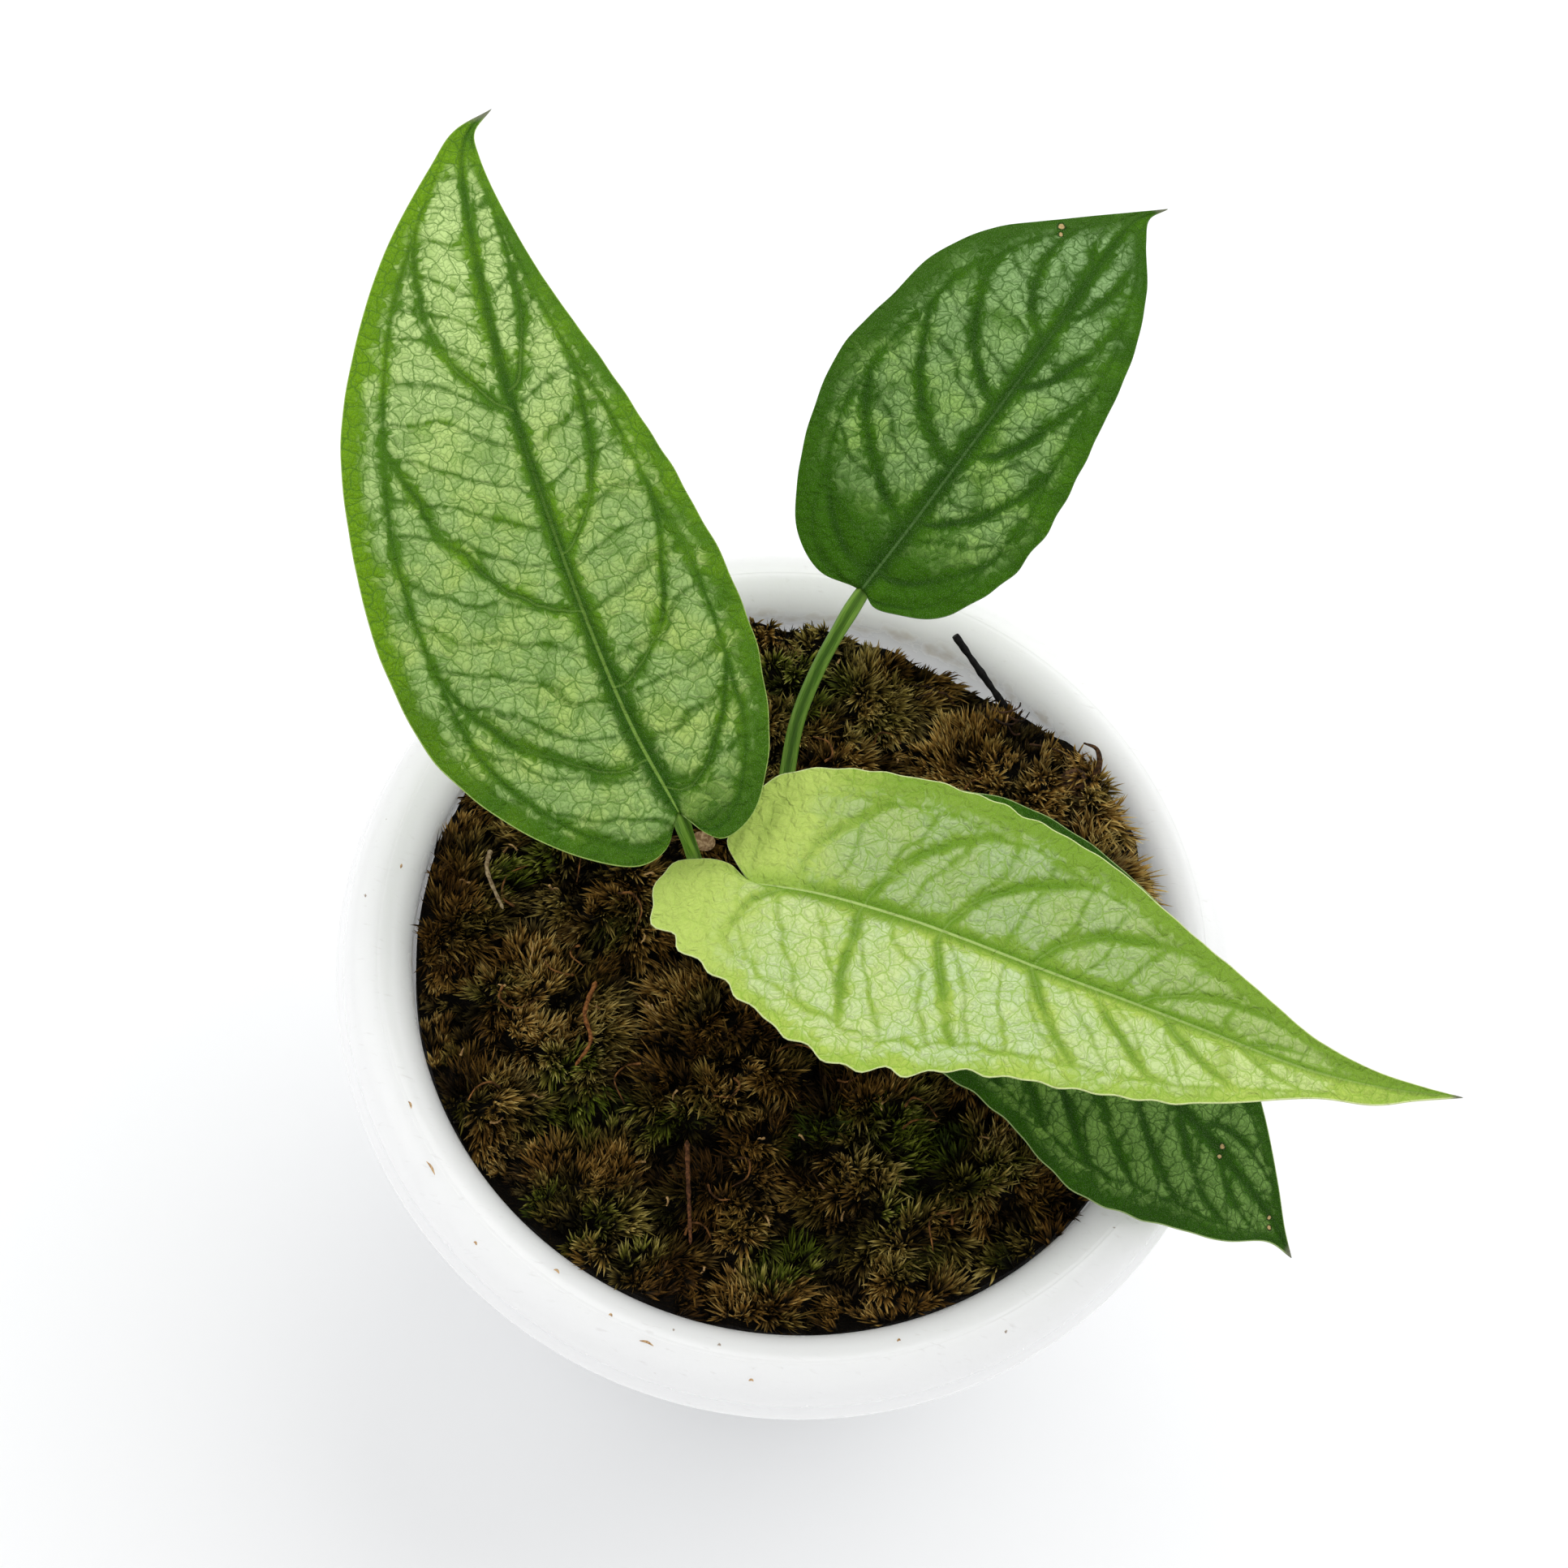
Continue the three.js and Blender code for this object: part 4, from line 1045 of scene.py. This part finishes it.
def moss_mat():
    """The matted base: a solid disc on the soil with an uneven top, a little under the tufts' tips."""
    rings, around = 70, 240
    angle = np.linspace(0, 2 * np.pi, around + 1)
    angle[-1] = 0
    radius = moss_radius * np.linspace(0, 1, rings + 1)[:, None]
    x, y = radius * np.cos(angle), radius * np.sin(angle)
    top = moss_top(x, y) - 2 + 0.35 * waves(x, y, 3, 8)
    upper = np.dstack([x, y, top])
    lower = np.dstack([x, y, soil_top + 0 * x])[[-1, 0]]
    points = np.vstack([upper.reshape(-1, 3), lower.reshape(-1, 3)])
    return points, [grid_faces(rings + 3, around + 1)[:, ::-1]]


mat_points, mat_faces = moss_mat()
new_piece("moss_mat", mat_points, mat_faces, [mat_finish()], "moss", ["moss"], sharp=60)
sprig_places = shifted_grid(sprig_spacing, moss_radius - 0.6, 0.8, 3)
sprig_finish = moss_finish()
quarter_of = (np.arctan2(sprig_places[:, 1], sprig_places[:, 0]) // (np.pi / 2)).astype(int) + 2
for quarter in range(4):
    places = sprig_places[quarter_of == quarter]
    sprig_piece(f"moss_sprigs_{quarter + 1}", places, 30 + quarter, sprig_finish)

# The loose bits are dry litter caught in the moss: a thin black stick leaning on the rim, three fine twigs,
# a curl of bark with a torn strip, and a split chip of bark behind the stem. Short dead roots and pale
# slivers lie on the moss, and crumbs of bark on the rim.

black_stick = [[10.6, 62.9, 115.2], [28.7, 52.4, 103.7]]
twigs = {
    "twig_red": [[-29.8, -14.8, 116.3], [-29.9, -21, 117.6], [-27.7, -25, 117.2], [-28.9, -29.2, 115.4]],
    "twig_dark": [[-8.2, -35.9, 115.6], [-6, -43, 116.6], [-2.9, -51.6, 113.4]],
    "twig_pale": [[-53.1, 2.8, 113], [-52.2, -2, 116.4], [-48, -6.7, 114]],
}


def dry_finish(name, dark, light, size=0.6):
    """Dry wood or bark, streaked along its length and rough."""
    material, start = new_finish(name)
    place = start.place()
    streak = place.warped(size, 1).scaled(1, 1, 0.4).noise(size * 3, 5)
    colour = streak.rise(0.35, 0.68).tint(dark, light)
    dress(material, {"Base Color": colour, "Roughness": 0.75, "Specular IOR Level": 0.15}, streak, 0.15)
    return material


def stick_radius(t):
    return 0.6 * (1 + 0.12 * np.sin(23 * t) + 0.08 * np.sin(61 * t))


def twig_radius(t):
    ends = np.clip(np.minimum(t, 1 - t) / 0.03, 0.3, 1)
    return 0.38 * (1.1 - 0.4 * t) * (1 + 0.14 * np.sin(40 * t)) * ends


stick = tube(black_stick, stick_radius, 16, 60)
stick_finish = dry_finish("black_stick_wood", paint(8, 8, 9), paint(28, 26, 26))
tube_piece("leaning_stick", [stick], stick_finish, "dark_wood", ["black_stick"])
twig_colours = {
    "twig_red": (paint(88, 50, 20), paint(152, 98, 52)),
    "twig_dark": (paint(58, 34, 18), paint(112, 72, 42)),
    "twig_pale": (paint(112, 92, 66), paint(168, 150, 116)),
}
for node, path in twigs.items():
    dry = dry_finish(node + "_skin", *twig_colours[node])
    tube_piece(node + "_fine", [tube(path, twig_radius, 12, 50)], dry, "twig", [node])


def litter_radius(t):
    return 0.21 * (1 - 0.5 * t) * (1 + 0.2 * np.sin(31 * t))


def litter_tubes(places, seed, reach):
    """Short curved roots or slivers, lying on the moss."""
    draw = np.random.default_rng(seed)
    for x, y in places:
        heading, curl = 2 * np.pi * draw.random(), 0.3 * reach * draw.standard_normal()
        length = reach * (0.6 + draw.random())
        share = np.array([0, 0.35, 0.7, 1])
        turn = heading + curl * share
        at_x, at_y = x + length * share * np.cos(turn), y + length * share * np.sin(turn)
        height = moss_top(at_x, at_y) + 0.4 + 1.4 * draw.random(4)
        yield tube(np.column_stack([at_x, at_y, height]), litter_radius, 6, 14)


red_places = shifted_grid(17, moss_radius - 8, 1.2, 27)
pale_places = shifted_grid(14, moss_radius - 4, 1.3, 12)
stick_foot = np.array([[20, 55], [17, 55], [23, 54], [26, 52], [14, 55.5], [10, 56], [21, 52], [28, 50]])
for name, places, seed, reach, dark, light in (
    ("red_litter", red_places, 8, 5, paint(56, 34, 14), paint(148, 100, 54)),
    ("pale_litter", pale_places, 5, 1.3, paint(110, 80, 44), paint(196, 160, 108)),
    ("dark_litter", stick_foot, 21, 5, paint(18, 12, 9), paint(74, 50, 34)),
):
    litter_skin = dry_finish(name + "_skin", dark, light, 0.2)
    tube_piece(name, litter_tubes(places, seed, reach), litter_skin, "twig")

crumb_angles = [-175.8, -140.4, -131.4, -120, -109.4, -100, -94.2, -80, -60, 150]
crumb_sizes = [0.8, 1.3, 2.6, 0.7, 1.1, 0.6, 2.4, 0.8, 0.6, 1.2]


def crumb_radius(t):
    return 0.04 + 0.17 * np.sin(np.pi * t)


def crumb_tubes():
    """Small slivers of dry bark, lying on the pot's rim."""
    for i, (degrees, length) in enumerate(zip(crumb_angles, crumb_sizes)):
        radius = crown_radius - 2 + 1.7 * (i % 4)
        height = pot_height - roll_radius + (roll_radius**2 - (radius - crown_radius) ** 2) ** 0.5 + 0.1
        turn = math.radians(degrees) + np.array([-0.5, 0, 0.5]) * length / radius
        bow = np.array([0, 0.25, 0])
        path = np.column_stack([radius * np.cos(turn), radius * np.sin(turn) + bow, height + 0 * bow])
        yield tube(path, crumb_radius, 6, 8)


crumb_skin = dry_finish("crumb_skin", paint(150, 114, 74), paint(214, 180, 136))
tube_piece("rim_crumbs", crumb_tubes(), crumb_skin, "bark_pale")

curl_centre = [38.3, 42.6, 113.4]
curl_radius = 3.3
curl_length = 7
curl_thickness = 0.45


def bark_curl():
    """A thin strip of bark rolled through about 200 degrees, torn along both edges, narrow at its ends."""
    turns, steps = 60, 20
    draw = np.random.default_rng(6)
    angle = np.linspace(0.4, 3.9, turns + 1)[:, None]
    share = np.linspace(-0.5, 0.5, steps + 1)
    width = curl_length * np.sin(np.linspace(0.25, np.pi - 0.25, turns + 1))[:, None] ** 0.5
    width = width + 0.5 * draw.random((turns + 1, 1))
    layers = []
    for radius in (curl_radius, curl_radius - curl_thickness):
        reach = radius * (0.8 + 0.055 * angle) + 0.12 * np.sin(9 * share + 3 * angle)
        layers.append(np.dstack([reach * np.cos(angle), reach * np.sin(angle), width * share + 0 * reach]))
    outer, inner = layers
    ring = np.concatenate([outer, inner[:, ::-1], outer[:, :1]], axis=1)
    points = ring.reshape(-1, 3)
    columns = ring.shape[1]
    ends = np.array([np.arange(columns - 1), turns * columns + np.arange(columns - 1)[::-1]])
    lean = np.array(Matrix.Rotation(0.9, 3, "Z") @ Matrix.Rotation(1.45, 3, "X"))
    return points @ lean.T + curl_centre, [grid_faces(turns + 1, columns)[:, ::-1], ends]


def strip_radius(t):
    return 0.15 + 0.4 * np.sin(np.pi * (0.25 + 0.75 * t))


torn_strip = [[38.6, 43.5, 115], [39.8, 46.4, 117], [38.6, 48.8, 118.4], [36.2, 49.2, 118.4]]
strip_points, strip_faces, _ = tube(torn_strip, strip_radius, 8, 24)
curl_points, curl_faces = bark_curl()
curl_faces += [face + len(curl_points) for face in strip_faces]
curl_points = np.vstack([curl_points, strip_points])
curl_skin = dry_finish("curl_skin", paint(36, 22, 12), paint(92, 64, 38))
new_piece("bark_curl_fine", curl_points, curl_faces, [curl_skin], "bark", ["bark_curl"])
refinish("bark_chip", dry_finish("chip_skin", paint(120, 92, 64), paint(182, 154, 118)))

# The floor is a plain pale sheet in a white room. A window lights it softly from the upper right of the
# picture, and a white card from the left.

floor_reach = 6
room_strength = 0.76
lamp_aim = Vector((0, 0, 0.12))

floor_mesh = bpy.data.meshes.new("floor")
floor_corners = [(x * floor_reach, y * floor_reach, 0) for x, y in ((-1, -1), (1, -1), (1, 1), (-1, 1))]
floor_mesh.from_pydata(floor_corners, [], [(0, 1, 2, 3)])
floor = bpy.data.objects.new("floor", floor_mesh)
bpy.context.scene.collection.objects.link(floor)
floor_finish, _ = new_finish("pale_floor")
dress(floor_finish, {"Base Color": (0.93, 0.935, 0.94, 1), "Roughness": 0.6, "Specular IOR Level": 0.2})
floor_mesh.materials.append(floor_finish)
floor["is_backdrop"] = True

world = bpy.data.worlds.new("white room")
bpy.context.scene.world = world
world.use_nodes = True
world.node_tree.nodes["Background"].inputs["Color"].default_value = (1, 1, 1, 1)
world.node_tree.nodes["Background"].inputs["Strength"].default_value = room_strength


def soft_light(name, place, size, watts):
    lamp = bpy.data.lights.new(name, "AREA")
    lamp.shape = "DISK"
    lamp.size = size
    lamp.energy = watts
    lamp_object = bpy.data.objects.new(name, lamp)
    lamp_object.location = place
    lamp_object.rotation_euler = (lamp_aim - Vector(place)).to_track_quat("-Z", "Y").to_euler()
    bpy.context.scene.collection.objects.link(lamp_object)


soft_light("window", (0.35, 0.75, 1.3), 1.6, 11)
soft_light("white_card", (-0.9, 0.1, 0.8), 1.2, 3)

# The camera looks down on the plant from the front, 660 mm from the middle of the pot's top, and is turned
# about its own axis as the photograph was.

camera_place = np.array([0, -216.4, 727.9])
camera_aim = np.array([-9.9, 28.1, 115])
camera_roll = 14.36
focal_length = 90.97

camera_data = bpy.data.cameras.new("camera")
camera_data.sensor_width = 36
camera_data.lens = focal_length
camera_data.clip_start = 0.01
camera = bpy.data.objects.new("camera", camera_data)
sight = Vector(camera_aim - camera_place).normalized()
right = sight.cross(Vector((0, 0, 1))).normalized()
top = right.cross(sight)
roll = math.radians(camera_roll)
rolled_right = math.cos(roll) * right + math.sin(roll) * top
rolled_top = -math.sin(roll) * right + math.cos(roll) * top
camera_axes = Matrix((rolled_right, rolled_top, -sight)).transposed().to_4x4()
camera.matrix_world = Matrix.Translation(camera_place * mm) @ camera_axes
bpy.context.scene.collection.objects.link(camera)
bpy.context.scene.camera = camera
bpy.context.scene.view_settings.view_transform = "Standard"

visual_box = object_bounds()
[[list(corner) for corner in box] for box in (cad_box, visual_box)]
